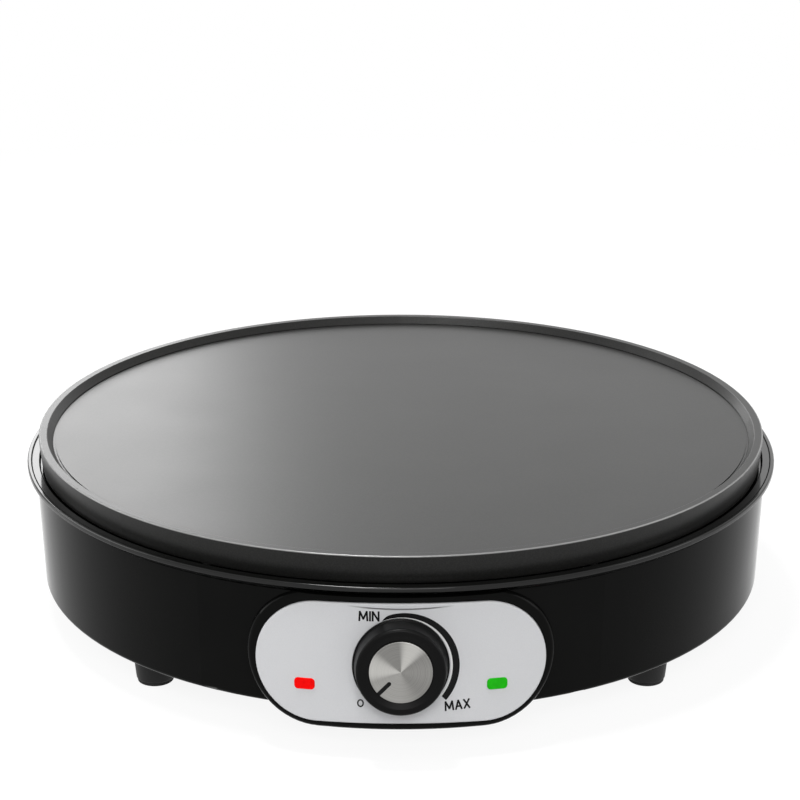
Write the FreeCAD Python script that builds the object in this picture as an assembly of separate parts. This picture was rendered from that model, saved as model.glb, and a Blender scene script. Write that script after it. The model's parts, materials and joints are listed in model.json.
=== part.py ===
import FreeCAD, Part
import math
import os
from FreeCAD import Vector

# Electric crepe maker. X to the right, front towards -Y, Z up from the table, millimetres.
# Pieces are drawn round the plate's axis and moved together at the end, so that the
# origin lies on the table under the middle of the whole object.

# Overall sizes
surface_d = 300.0          # flat cooking surface
foot_height = 15.0         # table to the underside of the housing
housing_h = 49.1           # height of the housing wall
ring_rise = 4.2            # housing wall to the top of the trim ring
plate_rise = 11.2          # trim ring's top to the plate's rim

# Cooking plate
plate_t = 5.0
rim_w = 6.0
rim_h = 3.0
rim_slope = 2.4            # run of the rim's sloping inner side
groove_w = 1.0
groove_depth = 0.4
skirt_below_ring = 0.3
skirt_taper = 1.1
skirt_t = 3.0

# Housing and trim ring
ring_over_plate = 5.2      # the ring's edge stands this far outside the plate
ring_over_wall = 3.8       # and this far outside the housing wall
wall_t = 2.5
wall_taper = 1.9
bottom_round = 2.0
ring_bead_w = 1.8
ring_bead_h = 0.5
ring_edge_t = 1.3
ring_floor_t = 2.1
ring_gap = 1.1             # dark gap between plate skirt and ring
spigot_h = 4.0
spigot_t = 2.0
ring_ledge = 2.5           # ring's inner edge outside the middle of the screw columns
wall_sectors = 6           # big rings are drawn in sectors, so that their rounds stay even
ring_sectors = 8

# Screw columns inside the housing
column_count = 6
column_r = 4.0
column_gap = 2.0           # between column and wall, bridged by a web
column_hole = 12.0
web_t = 2.4
web_below_spigot = 0.5

# Bottom cover
cover_t = 2.0
cover_recess = 1.0
cover_boss_h = 8.0
cover_boss_r = 7.0
cover_rib_h = 3.0
vent_count = 24
vent_w = 3.0
vent_length = 18.0
vent_past_element = 2.0    # outer ends of the vents outside the element's ring
rib_from_posts = 12.0
rib_from_vents = 6.0
rib_half_t = 1.0
vent_free_angle = 25.0     # no vents this near the rear, under the terminal block
block_boss_r = 3.5
block_boss_h = 3.0

# Control pod and fascia
panel_w = 110.8
panel_less_high = 1.8      # fascia's height is this much less than the wall's
panel_drop = 0.9           # fascia's centre below the middle of the wall
panel_lean = 7.0           # degrees, top edge further back
panel_bend_r = 150.0       # plan radius of the fascia
panel_reach = 6.1          # fascia in front of the wall's top edge
panel_t = 2.4
panel_round = 0.6
panel_proud = 0.8
crease_down = 2.15         # crease below the fascia's upper edge, at the middle
crease_rise = 1.2          # its ends are this much higher
crease_half_w = 20.5
crease_r = 0.4
crease_lift = 0.2          # centre of the crease's section in front of the fascia
panel_gap = 0.15           # round the fascia in its recess
bezel_w = 3.3
bezel_round = 2.2
pod_wall_t = 2.4
pod_half_width = 90.0      # room round the pod for its cuts
peg_r = 1.5
peg_length = 6.5
peg_side = 7.4             # upper pegs in from the fascia's ends
peg_up = 9.0
peg_low_x = 24.0
peg_bottom = 6.65          # lower pegs up from the fascia's lower edge
nut_r = 4.0
nut_t = 0.7

# Knob and shaft
knob_r = 18.45
knob_h = 10.6
knob_gap = 0.8
knob_skirt_t = 1.2
knob_foot_r = 17.8
knob_top_r = 16.9
knob_wall_t = 1.8
knob_land_w = 2.4          # sloping ring between the disc and the knob's rim
knob_dish = 0.9            # depth of that slope
knob_floor_t = 1.6
knob_draft = 0.6           # the hollow back narrows by this much
disc_r = 12.0
disc_t = 0.8
disc_sunk = 0.5            # disc's front below the knob's rim
disc_gap = 0.1
pointer_w = 1.25
pointer_inner_r = 6.0
pointer_angle = 225.0
hub_r = 5.6
shaft_r = 3.0
shaft_flat = 1.6           # distance from shaft axis to its flat
shaft_gap = 0.05           # running clearance round the shaft
shaft_collar_w = 1.4
shaft_collar_t = 1.0
clip_t = 0.4
clip_half_w = 2.0
clip_play = 0.03

# Thermostat, measured along the shaft inwards from the fascia's front
bracket_depth = 22.0
bracket_t = 1.2
bracket_half_w = 13.0
bracket_floor_gap = 6.65   # bracket's lower end above the bottom cover
bracket_screw_x = 9.0
bracket_from_ring = 6.5    # bracket's screws inside the trim ring's inner edge
bracket_flange_edge = 4.5
bush_front = 15.0
bush_rear = 27.0
bush_r = 5.0
bush_flange_r = 7.5
bush_flange_t = 2.0
pin_r = 1.3
pin_gap = 0.05
pin_length = 7.0
shaft_tip = 23.9
tip_gap = 0.2              # between the shaft's tip and the pin
stack_up = 15.0
stack_r = 6.0
rivet_r = 1.5
rivet_head_r = 2.6
rivet_head_t = 1.0
last_ring_t = 2.5
leaf_t = 0.4
leaf_w = 7.0
leaf_reach = 20.0
leaf_overhang = 5.0        # leaves and strip beyond the rivet
leaf_space = 3.4           # from one leaf to the next
leaf_tab_reach = 17.0
leaf_tab_w = 6.0
pin_play = 1.3             # adjusting pin to the first leaf, knob at its lowest
bimetal_space = 1.2
bimetal_t = 1.0
bimetal_half_w = 8.0
button_r = 1.8
button_h = 1.1
button_y = -5.5

# Indicator lenses
lens_w = 8.0
lens_h = 4.4
lens_round = 1.5
lens_x = 36.6
lens_drop = 9.0
lens_proud = 0.35
lens_flange = 1.2
lens_flange_t = 0.9
lens_gap = 0.15
lens_stem = 4.0            # lens behind the pod's wall
holder_length = 16.0
holder_wall = 1.5
holder_floor_t = 1.2
lamp_wire_x = 1.6
bulb_r = 1.9
bulb_length = 9.0

# Heating element
element_inset = 50.0       # element's ring inside the cooking surface's edge
element_tube_r = 3.5
element_gap_angle = 30.0
element_bend_r = 12.0
element_end_below_ring = 16.0
element_tab_w = 6.3
element_tab_t = 0.8
element_tab_length = 10.0
seal_r = 4.5
seal_h = 5.0
seal_pin_r = 1.5
clamp_angles = (30.0, 150.0, 232.0, 308.0)
clamp_t = 1.0
clamp_half_w = 6.0
clamp_screw_out = 14.0     # clamp's screw outside the element's centre line
clamp_step = 1.1           # clamp's seat below the element's centre

# Plate supports, bosses and reflector
post_share = 0.4           # posts' circle as a share of the cooking surface
post_angles = (90.0, 210.0, 330.0)
post_r = 5.0
boss_r = 4.0
boss_drop = 5.3            # bosses for bracket, fuse and earth below the plate
reflector_inset = 24.0
reflector_t = 0.8
reflector_edge_w = 12.0
reflector_edge_h = 3.0
reflector_below_plate = 12.7

# Feet
foot_inset = 5.6           # foot's edge inside the cover's edge
foot_angle = 43.5          # degrees from the X axis
foot_top_r = 9.2
foot_bottom_r = 7.75
foot_ledge = 7.0           # seat of the foot's screw above the foot's underside
foot_boss_r = 4.5
foot_boss_h = 7.0
foot_screw_short = 2.5     # foot's screw ends this far below the top of its boss
pad_t = 1.5
pad_stem_r = 5.3
pad_stem_gap = 3.2         # room for the screw's head above the pad's stem

# Cord inlet
gland_z = 32.0
gland_bore_r = 3.7
gland_neck_r = 6.0
gland_flange_r = 8.5
gland_flange_t = 2.4
gland_lip_t = 2.2
gland_pad_proud = 0.9
clamp_bar_inset = 18.7     # cord clamp inside the cover's edge
clamp_bar_half_w = 14.5
clamp_bar_half_d = 4.0
clamp_bar_t = 2.5
clamp_bar_h = 7.0
cord_way_w = 4.6
block_behind_clamp = 26.0
block_half_w = 17.0
block_half_d = 9.0
block_h = 13.0
block_way_x = 6.5
block_way_up = 5.0
block_screw_edge = 4.0
block_screw_up = 3.0
sleeve_r = 2.0             # brass sleeves in the block's ways
grub_r = 1.6
grub_h = 5.0

# Cut-out and earth
fuse_angle = 82.0
earth_angle = 105.0
tags_from_bracket = 2.0    # fuse's and earth's screws inside the circle of the bracket's
fuse_r = 3.0
fuse_length = 18.0
fuse_pin_r = 0.9
fuse_pin_length = 3.0
fuse_beside_screw = 9.0
fuse_before_screw = 7.5
sheet_t = 1.0
tag_t = 0.8
tag_tail = 13.0

# Fasteners
screw_r = 2.0
screw_head_r = 3.9
screw_head_h = 2.4
pilot_gap = 0.05           # round a screw's thread in its hole
hole_gap = 0.3             # round a screw that passes through
head_room = 1.0            # over a countersunk screw's head
small_screw_bite = 2.5     # small screws reach this far into their bosses
small_screw_r = 1.5
small_head_r = 2.8
small_head_h = 1.9
short_screw = 4.5
fit_gap = 0.3              # general gap between moulded pieces
loose_gap = 0.2            # between pieces that drop into each other
close_gap = 0.1
slip_gap = 0.05            # between pieces that slide together
press_gap = 0.02           # between pieces that grip each other
sink = 0.5                 # bosses and ribs are drawn this far into what carries them

# Wires and their push-on connectors
wire_r = 1.2
thin_wire_r = 0.8
wire_floor_gap = 8.0       # wires run this far above the bottom cover
wire_round_posts = 18.0    # and this far outside the posts' circle
wire_over_block = 18.0
wire_in_block = 3.0        # bare end of a wire short of the middle of its block's sleeve
wire_run_out = 10.0        # straight run of a wire from the end it is fixed to
wire_before_tab = 8.0      # element's wire passes this far in front of its tab
fuse_wire_inwards = 4.0    # fuse's wire turns this far in front of the fuse
leaf_wire_drop = 8.0       # lamp wires rise this far to the switch's connectors
live_beside_leaf = 26.0    # live wire comes up this far to the left of the switch's tab
live_behind_leaf = 14.0    # and this far behind it
fuse_wire_rise = 14.0      # fuse's wire leaves this far above the others
fuse_wire_drop = 2.0       # and passes under the element this far below them
lamp_wire_crossing = 18.0  # lamp wires cross this far in front of the element's tab
lamp_wire_drop = 3.0       # and this far below the other wires
lamp_wire_rise = 6.0       # the neutral lamp's wire turns this far above them
lamp_wire_aside = 14.0     # and this far to the left of the element's tab
lamp_wire_before = 12.0    # and this far in front of it
crossing_right = 20.0      # right and left ends of the lamp wire's crossing
crossing_left = -10.0
lamp_run_out = 6.0         # straight run of a lamp's wire behind its holder
near_connector = 2.0       # where a lamp's wire joins a leaf's connector, from the tab's end
far_connector = 6.0
connector_half_w = 4.1
connector_half_t = 1.7
connector_length = 11.0
connector_end_t = 3.0

# Heights worked out from the sizes above
wall_bottom_z = foot_height
wall_top_z = wall_bottom_z + housing_h
ring_top_z = wall_top_z + ring_rise
rim_top_z = ring_top_z + plate_rise
surface_z = rim_top_z - rim_h
plate_under_z = surface_z - plate_t
skirt_bottom_z = ring_top_z - skirt_below_ring
cover_bottom_z = wall_bottom_z + cover_recess
cover_top_z = cover_bottom_z + cover_t
boss_top_z = cover_top_z + cover_boss_h
reflector_top_z = plate_under_z - reflector_below_plate + reflector_t
reflector_bottom_z = reflector_top_z - reflector_t
element_z = plate_under_z - element_tube_r
bracket_seat_z = plate_under_z - boss_drop
wire_z = cover_top_z + wire_floor_gap

# Radii worked out from the sizes above
surface_r = surface_d / 2
rim_r = surface_r + rim_w
ring_r = rim_r + ring_over_plate
wall_top_r = ring_r - ring_over_wall
wall_bottom_r = wall_top_r - wall_taper
cover_r = wall_bottom_r - wall_t - fit_gap
column_circle_r = wall_bottom_r - wall_t - column_gap - column_r
ring_inner_r = column_circle_r + ring_ledge
bracket_screw_r = ring_inner_r - bracket_from_ring
tag_screw_r = bracket_screw_r - tags_from_bracket
post_circle_r = surface_r * post_share
element_ring_r = surface_r - element_inset
vent_circle_r = element_ring_r - vent_length + vent_past_element
reflector_r = surface_r - reflector_inset
foot_circle_r = cover_r - foot_inset - foot_top_r
clamp_bar_y = cover_r - clamp_bar_inset
block_y = clamp_bar_y - block_behind_clamp

# Middle of the fascia's front, where the knob's axis meets it
panel_h = housing_h - panel_less_high
panel_z = wall_bottom_z + housing_h / 2 - panel_drop
panel_middle = Vector(0, -(wall_top_r + panel_reach), panel_z)


def corner_points(before, here, after, radius):
    """Points that round one corner: start, middle and end of an arc, or the corner itself."""
    if radius == 0:
        return [here]
    towards_before = (before - here).normalize()
    towards_after = (after - here).normalize()
    half_angle = towards_before.getAngle(towards_after) / 2
    reach = radius / math.tan(half_angle)
    inwards = (towards_before + towards_after).normalize()
    centre = here + inwards * (radius / math.sin(half_angle))
    return [here + towards_before * reach, centre - inwards * radius, here + towards_after * reach]


def outline(corners, place):
    """Closed face outline through corners (a, b) or (a, b, radius), set in space by place."""
    flat = [Vector(c[0], c[1], 0) for c in corners]
    groups = []
    for i, corner in enumerate(corners):
        radius = corner[2] if len(corner) > 2 else 0
        after = flat[(i + 1) % len(flat)]
        groups.append(corner_points(flat[i - 1], flat[i], after, radius))
    edges = []
    for i, group in enumerate(groups):
        start = groups[i - 1][-1]
        if (group[0] - start).Length > 1e-6:
            edges.append(Part.LineSegment(place(start), place(group[0])).toShape())
        if len(group) == 3:
            edges.append(Part.Arc(*[place(p) for p in group]).toShape())
    return Part.Face(Part.Wire(Part.__sortEdges__(edges)))


def turned(corners, angle=360):
    """Solid of revolution about Z from corners (radius, height, rounding)."""
    face = outline(corners, lambda p: Vector(p.x, 0, p.y))
    return face.revolve(Vector(0, 0, 0), Vector(0, 0, 1), angle)


def big_ring(corners, count):
    """Equal sectors of a solid of revolution about Z, to be fused with what joins the ring."""
    angle = 360.0 / count
    sector = turned(corners, angle)
    return [turned_to(sector, i * angle) for i in range(count)]


def prism(corners, low, high):
    """Upright prism from corners (x, y, rounding) between two heights."""
    face = outline(corners, lambda p: Vector(p.x, p.y, low))
    return face.extrude(Vector(0, 0, high - low))


def oblong(half_w, half_h, rounding, x=0, y=0):
    """Corners of a rounded rectangle round (x, y)."""
    signs = ((-1, -1), (1, -1), (1, 1), (-1, 1))
    return [(x + sx * half_w, y + sy * half_h, rounding) for sx, sy in signs]


def rod(radius, low, high, x=0, y=0):
    """Upright cylinder between two heights."""
    return Part.makeCylinder(radius, high - low, Vector(x, y, low))


def tube(outer, inner, low, high, x=0, y=0):
    """Upright tube between two heights."""
    return rod(outer, low, high, x, y).cut(rod(inner, low - 1, high + 1, x, y))


def block(x0, x1, y0, y1, z0, z1):
    """Box between two corners."""
    return Part.makeBox(x1 - x0, y1 - y0, z1 - z0, Vector(x0, y0, z0))


def fused(shapes):
    """One solid from shapes that overlap or touch, with its faces left as they were drawn."""
    return shapes[0].multiFuse(shapes[1:])


def joined(shapes):
    """One solid from shapes that overlap, with faces in one surface made one."""
    return fused(shapes).removeSplitter()


def turned_to(shape, degrees):
    """Copy of a shape turned about the plate's axis."""
    copy = shape.copy()
    copy.rotate(Vector(0, 0, 0), Vector(0, 0, 1), degrees)
    return copy


def moved(shape, x=0, y=0, z=0):
    """Copy of a shape moved by a distance."""
    copy = shape.copy()
    copy.translate(Vector(x, y, z))
    return copy


def on_circle(radius, degrees):
    """Point (x, y) on a circle round the plate's axis."""
    return radius * math.cos(math.radians(degrees)), radius * math.sin(math.radians(degrees))


def on_dial(shape):
    """Places a shape drawn on the fascia: x right, y up the face, z out along the knob's axis."""
    copy = shape.copy()
    copy.rotate(Vector(0, 0, 0), Vector(1, 0, 0), 90 - panel_lean)
    copy.translate(panel_middle)
    return copy


def dial_point(x, y, z):
    """Point in space of a place given on the fascia."""
    lean = math.radians(panel_lean)
    across = y * math.sin(lean) - z * math.cos(lean)
    up = y * math.cos(lean) + z * math.sin(lean)
    return panel_middle + Vector(x, across, up)


def round_face(shape, x):
    """Slides a shape drawn at the middle of the fascia round its bend until it is at x."""
    copy = shape.copy()
    angle = math.degrees(math.asin(x / panel_bend_r))
    copy.rotate(Vector(0, 0, -panel_bend_r), Vector(0, 1, 0), angle)
    return copy


def bent_solid(depth):
    """Everything behind a surface parallel to the fascia's front, depth below it."""
    tall = 2 * panel_h
    solid = Part.makeCylinder(panel_bend_r - depth, 2 * tall, Vector(0, 0, 0), Vector(0, 1, 0))
    solid.rotate(Vector(0, 0, 0), Vector(0, 1, 0), 180)
    solid.translate(Vector(0, -tall, -panel_bend_r))
    return on_dial(solid)


def screw(shank_r, head_r, head_h, length):
    """Pan head screw pointing up, with the underside of its head at z = 0."""
    head = turned([(0, -head_h), (head_r, -head_h, head_h * 0.45), (head_r, 0), (0, 0)])
    shank = turned([(0, -0.1), (shank_r, -0.1), (shank_r, length, shank_r * 0.4), (0, length)])
    slot_half_l = head_r * 0.55
    slot_half_w = head_r * 0.13
    cross = [block(-slot_half_l, slot_half_l, -slot_half_w, slot_half_w, -head_h, -head_h * 0.45)]
    cross.append(turned_to(cross[0], 90))
    return joined([head, shank]).cut(cross[0]).cut(cross[1])


def big_screw(length):
    return screw(screw_r, screw_head_r, screw_head_h, length)


def small_screw(length):
    return screw(small_screw_r, small_head_r, small_head_h, length)


def upside_down(shape):
    """Copy of a shape turned over about X."""
    copy = shape.copy()
    copy.rotate(Vector(0, 0, 0), Vector(1, 0, 0), 180)
    return copy


def wire_path(points, radius):
    """Round wire through points, its corners rounded as far as the two runs allow."""
    groups = [[points[0]]]
    for before, here, after in zip(points, points[1:], points[2:]):
        turn = (here - before).getAngle(after - here)
        run = min((here - before).Length, (after - here).Length)
        bend = 0.45 * run / math.tan(turn / 2)
        groups.append(corner_points(before, here, after, bend))
    groups.append([points[-1]])
    edges = []
    for i, group in enumerate(groups):
        if i:
            edges.append(Part.LineSegment(groups[i - 1][-1], group[0]).toShape())
        if len(group) == 3:
            edges.append(Part.Arc(*group).toShape())
    path = Part.Wire(edges)
    start = Part.makeCircle(radius, points[0], points[1] - points[0])
    return path.makePipeShell([Part.Wire([start])], True, False)


def column_angles():
    """Angles of the housing's screw columns, none of them at the front or the rear."""
    return [360.0 * i / column_count for i in range(column_count)]


def foot_places():
    """Names and centres of the four feet."""
    return {
        "foot_front_left": on_circle(foot_circle_r, 180 + foot_angle),
        "foot_front_right": on_circle(foot_circle_r, -foot_angle),
        "foot_rear_left": on_circle(foot_circle_r, 180 - foot_angle),
        "foot_rear_right": on_circle(foot_circle_r, foot_angle),
    }


# Cooking plate

def cooking_plate():
    """Cast plate: rim, groove, skirt, and ridge and bosses underneath."""
    rim_inner_r = surface_r + rim_slope
    skirt_outer_r = rim_r - skirt_taper
    skirt_inner_r = skirt_outer_r - skirt_t
    flat_r = surface_r - groove_w
    disc = rod(flat_r, plate_under_z, surface_z)
    rim = big_ring([
        (flat_r, plate_under_z), (flat_r, surface_z - groove_depth),
        (surface_r, surface_z - groove_depth), (surface_r, surface_z),
        (rim_inner_r, rim_top_z, 0.5), (rim_r, rim_top_z, 0.7),
        (skirt_outer_r, skirt_bottom_z, 0.4), (skirt_inner_r, skirt_bottom_z),
        (skirt_inner_r - 1, plate_under_z, 1.0),
    ], ring_sectors)
    ridge_half_w = element_tube_r * 2
    ridge = turned([
        (element_ring_r - ridge_half_w, plate_under_z + 1), (element_ring_r - ridge_half_w, element_z),
        (element_ring_r + ridge_half_w, element_z), (element_ring_r + ridge_half_w, plate_under_z + 1),
    ])
    extras = [ridge]
    holes = []
    for angle in post_angles:
        x, y = on_circle(post_circle_r, angle)
        extras.append(rod(cover_boss_r, reflector_top_z, plate_under_z + 1, x, y))
        holes.append(rod(screw_r + pilot_gap, reflector_top_z - 1, plate_under_z - 1, x, y))
    for x, y in clamp_screw_places():
        extras.append(rod(boss_r, clamp_seat_z(), plate_under_z + 1, x, y))
        holes.append(rod(small_screw_r + pilot_gap, clamp_seat_z() - 1, plate_under_z + 1, x, y))
    for x, y in bracket_screw_places() + [fuse_screw_place(), earth_screw_place()]:
        extras.append(rod(boss_r, bracket_seat_z, plate_under_z + 1, x, y))
        holes.append(rod(small_screw_r + pilot_gap, bracket_seat_z - 1, plate_under_z + 1, x, y))
    groove = Part.makeTorus(element_ring_r, element_tube_r + slip_gap, Vector(0, 0, element_z))
    return fused([disc] + rim + extras).cut(groove).cut(Part.makeCompound(holes))


# Heating element and what holds it

def element_end_angles():
    half_gap = element_gap_angle / 2
    return 270 + half_gap, 270 - half_gap


def element_end_places():
    """Centres of the two vertical ends of the element."""
    places = []
    for angle, side in zip(element_end_angles(), (-1, 1)):
        x, y = on_circle(element_ring_r, angle)
        along = math.radians(angle + 90)
        places.append((x + side * element_bend_r * math.cos(along),
                       y + side * element_bend_r * math.sin(along)))
    return places


def element_end_z():
    return element_z - element_end_below_ring


def heating_element():
    """Tube bent into an open ring, with both ends bent down."""
    start, end = element_end_angles()
    middle = on_circle(element_ring_r, 90)
    first = on_circle(element_ring_r, start)
    last = on_circle(element_ring_r, end)
    ring = Part.Arc(Vector(*first, element_z), Vector(*middle, element_z), Vector(*last, element_z))
    edges = [ring.toShape()]
    share = 1 - math.sqrt(0.5)
    for corner, end_xy in zip((first, last), element_end_places()):
        top = Vector(*corner, element_z)
        foot = Vector(*end_xy, element_z - element_bend_r)
        across = Vector(end_xy[0] - corner[0], end_xy[1] - corner[1], 0)
        half = top + across * math.sqrt(0.5) + Vector(0, 0, -element_bend_r * share)
        bend = Part.Arc(top, half, foot).toShape()
        leg = Part.LineSegment(foot, Vector(*end_xy, element_end_z())).toShape()
        if corner is first:
            edges = [leg, bend] + edges
        else:
            edges = edges + [bend, leg]
    path = Part.Wire(Part.__sortEdges__(edges))
    x, y = element_end_places()[0]
    section = Part.makeCircle(element_tube_r, Vector(x, y, element_end_z()), Vector(0, 0, 1))
    return path.makePipeShell([Part.Wire([section])], True, False)


def element_seals():
    """Ceramic bush under each end of the element."""
    return [tube(seal_r, seal_pin_r, element_end_z() - seal_h, element_end_z(), x, y)
            for x, y in element_end_places()]


def element_tabs():
    """Pin through each bush with a flat push-on tab."""
    tabs = []
    low = element_end_z() - seal_h
    half_w = element_tab_w / 2
    half_t = element_tab_t / 2
    for x, y in element_end_places():
        pin = rod(seal_pin_r, low - 1, element_end_z(), x, y)
        flat = block(x - half_w, x + half_w, y - half_t, y + half_t, low - element_tab_length, low)
        tabs.append(joined([pin, flat]))
    return tabs


def clamp_seat_z():
    return element_z - clamp_step


def clamp_screw_places():
    return [on_circle(element_ring_r + clamp_screw_out, a) for a in clamp_angles]


def element_clamps():
    """Strap under the tube at each angle, screwed to a boss outside it."""
    under = element_z - element_tube_r
    foot_in = element_ring_r + clamp_screw_out - 5
    foot_out = element_ring_r + clamp_screw_out + 5
    tip = element_ring_r - 5
    bend = element_ring_r + 4.5
    top = clamp_seat_z()
    face = outline([
        (tip, under), (bend, under), (foot_in, top), (foot_out, top),
        (foot_out, top - clamp_t), (foot_in + 0.6, top - clamp_t),
        (bend + 0.4, under - clamp_t), (tip, under - clamp_t),
    ], lambda p: Vector(p.x, -clamp_half_w, p.y))
    strap = face.extrude(Vector(0, 2 * clamp_half_w, 0))
    hole = rod(small_screw_r + hole_gap, under - 5, top + 5, element_ring_r + clamp_screw_out, 0)
    strap = strap.cut(hole)
    return [turned_to(strap, a) for a in clamp_angles]


def clamp_screws():
    one = small_screw(short_screw)
    return [moved(one, x, y, clamp_seat_z() - clamp_t) for x, y in clamp_screw_places()]


def heat_reflector():
    """Thin dish with a turned-up edge."""
    flat_r = reflector_r - reflector_edge_w
    low = reflector_bottom_z
    high = reflector_top_z
    rise = reflector_edge_h
    dish = turned([
        (0, low), (flat_r, low, 2), (reflector_r, low + rise), (reflector_r, high + rise),
        (flat_r - 0.2, high, 2), (0, high),
    ])
    holes = [rod(screw_r + hole_gap, low - 1, high + 1, *on_circle(post_circle_r, a))
             for a in post_angles]
    holes += [rod(element_tube_r + 2.0, low - 1, high + 1, x, y)
              for x, y in element_end_places()]
    return dish.cut(Part.makeCompound(holes))


def plate_posts():
    """Three tubes that stand on the cover's bosses and carry the plate."""
    return [tube(post_r, screw_r + hole_gap, boss_top_z, reflector_bottom_z, *on_circle(post_circle_r, a))
            for a in post_angles]


def plate_screws():
    seat = cover_bottom_z + screw_head_h + head_room
    length = plate_under_z - 3 - seat
    return [moved(big_screw(length), *on_circle(post_circle_r, a), seat) for a in post_angles]


# Trim ring and housing

def trim_ring():
    """Flange with a rounded bead, a channel under the plate's skirt, ears and a spigot."""
    channel_r = rim_r - skirt_taper + ring_gap
    floor_z = wall_top_z + ring_floor_t
    bead_z = ring_top_z + ring_bead_h
    edge_z = ring_top_z - ring_edge_t
    spigot_r = wall_top_r - wall_t - loose_gap
    pieces = big_ring([
        (ring_inner_r, wall_top_z), (ring_inner_r, floor_z, 0.5), (channel_r, floor_z, 0.5),
        (channel_r, ring_top_z, 0.4), (ring_r - ring_bead_w, ring_top_z, 0.4),
        (ring_r - ring_bead_w, bead_z, 0.4), (ring_r, bead_z, 0.7), (ring_r, edge_z, 0.4),
        (wall_top_r, wall_top_z, 0), (spigot_r, wall_top_z, 0),
        (spigot_r, wall_top_z - spigot_h, 0.4), (spigot_r - spigot_t, wall_top_z - spigot_h, 0),
        (spigot_r - spigot_t, wall_top_z, 0),
    ], ring_sectors)
    holes = []
    ear_r = column_r + 1.5
    for angle in column_angles():
        x, y = on_circle(column_circle_r, angle)
        pieces.append(rod(ear_r, wall_top_z, floor_z, x, y))
        holes.append(rod(screw_r + hole_gap, wall_top_z - 1, floor_z + 1, x, y))
    return fused(pieces).cut(Part.makeCompound(holes))


def ring_screws():
    one = upside_down(big_screw(10))
    seat = wall_top_z + ring_floor_t
    return [moved(one, *on_circle(column_circle_r, a), seat) for a in column_angles()]


def wall_inner():
    """Space inside the housing wall."""
    return turned([
        (0, 0), (wall_bottom_r - wall_t, 0), (wall_bottom_r - wall_t, wall_bottom_z),
        (wall_top_r - wall_t, wall_top_z), (wall_top_r - wall_t, wall_top_z + 40), (0, wall_top_z + 40),
    ])


def pod_prism(margin, depth):
    """Stadium-ended prism round the fascia, cut in front by the fascia's bend."""
    half_w = panel_w / 2 + margin
    half_h = panel_h / 2 + margin
    back = -panel_middle.y - 2 * bracket_depth
    front = -panel_middle.y + bracket_depth
    face = outline(oblong(half_w, half_h, half_h, 0, panel_z), lambda p: Vector(p.x, -back, p.y))
    return face.extrude(Vector(0, back - front, 0)).common(bent_solid(depth))


def rounded_front(solid, depth, radius):
    """Rounds the edge of the front face that lies depth below the fascia's front."""
    bend = panel_bend_r - depth
    front = [f for f in solid.Faces
             if isinstance(f.Surface, Part.Cylinder) and abs(f.Surface.Radius - bend) < 1e-3]
    return solid.makeFillet(radius, front[0].Edges)


def panel_middle_to_end():
    """How far the fascia's ends lie behind its middle, its thickness included."""
    half_w = panel_w / 2 + bezel_w
    return panel_bend_r - math.sqrt(panel_bend_r ** 2 - half_w ** 2) + 2 * panel_t


def fascia_outline(margin, low, high):
    """Stadium-ended prism along the knob's axis, the shape of the fascia and of its recess."""
    half_h = panel_h / 2 + margin
    return on_dial(prism(oblong(panel_w / 2 + margin, half_h, half_h), low, high))


def pod_openings():
    """Shaft hole, lens windows and peg holes with seats in the pod's wall behind the fascia."""
    back = -panel_t - pod_wall_t
    cuts = [rod(shaft_r + 2.0, 2 * back, 2)]
    half_w = lens_w / 2 + lens_gap
    half_h = lens_h / 2 + lens_gap
    window = prism(oblong(half_w, half_h, lens_round), 2 * back, 4)
    seat = prism(oblong(half_w + lens_flange, half_h + lens_flange, lens_round),
                 -panel_t - lens_flange_t, 4)
    for x in (-lens_x, lens_x):
        cuts.append(round_face(moved(window, y=-lens_drop), x))
        cuts.append(round_face(moved(seat, y=-lens_drop), x))
    for x, y in peg_places():
        cuts.append(round_face(rod(peg_r + close_gap, 2 * back, 2, 0, y), x))
        cuts.append(round_face(rod(nut_r + loose_gap, 2 * back, back, 0, y), x))
    return Part.makeCompound([on_dial(c) for c in cuts])


def peg_places():
    """Places (x, y) of the fascia's four pegs."""
    side = panel_w / 2 - peg_side
    low = peg_bottom - panel_h / 2
    return [(-side, peg_up), (side, peg_up), (-peg_low_x, low), (peg_low_x, low)]


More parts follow.
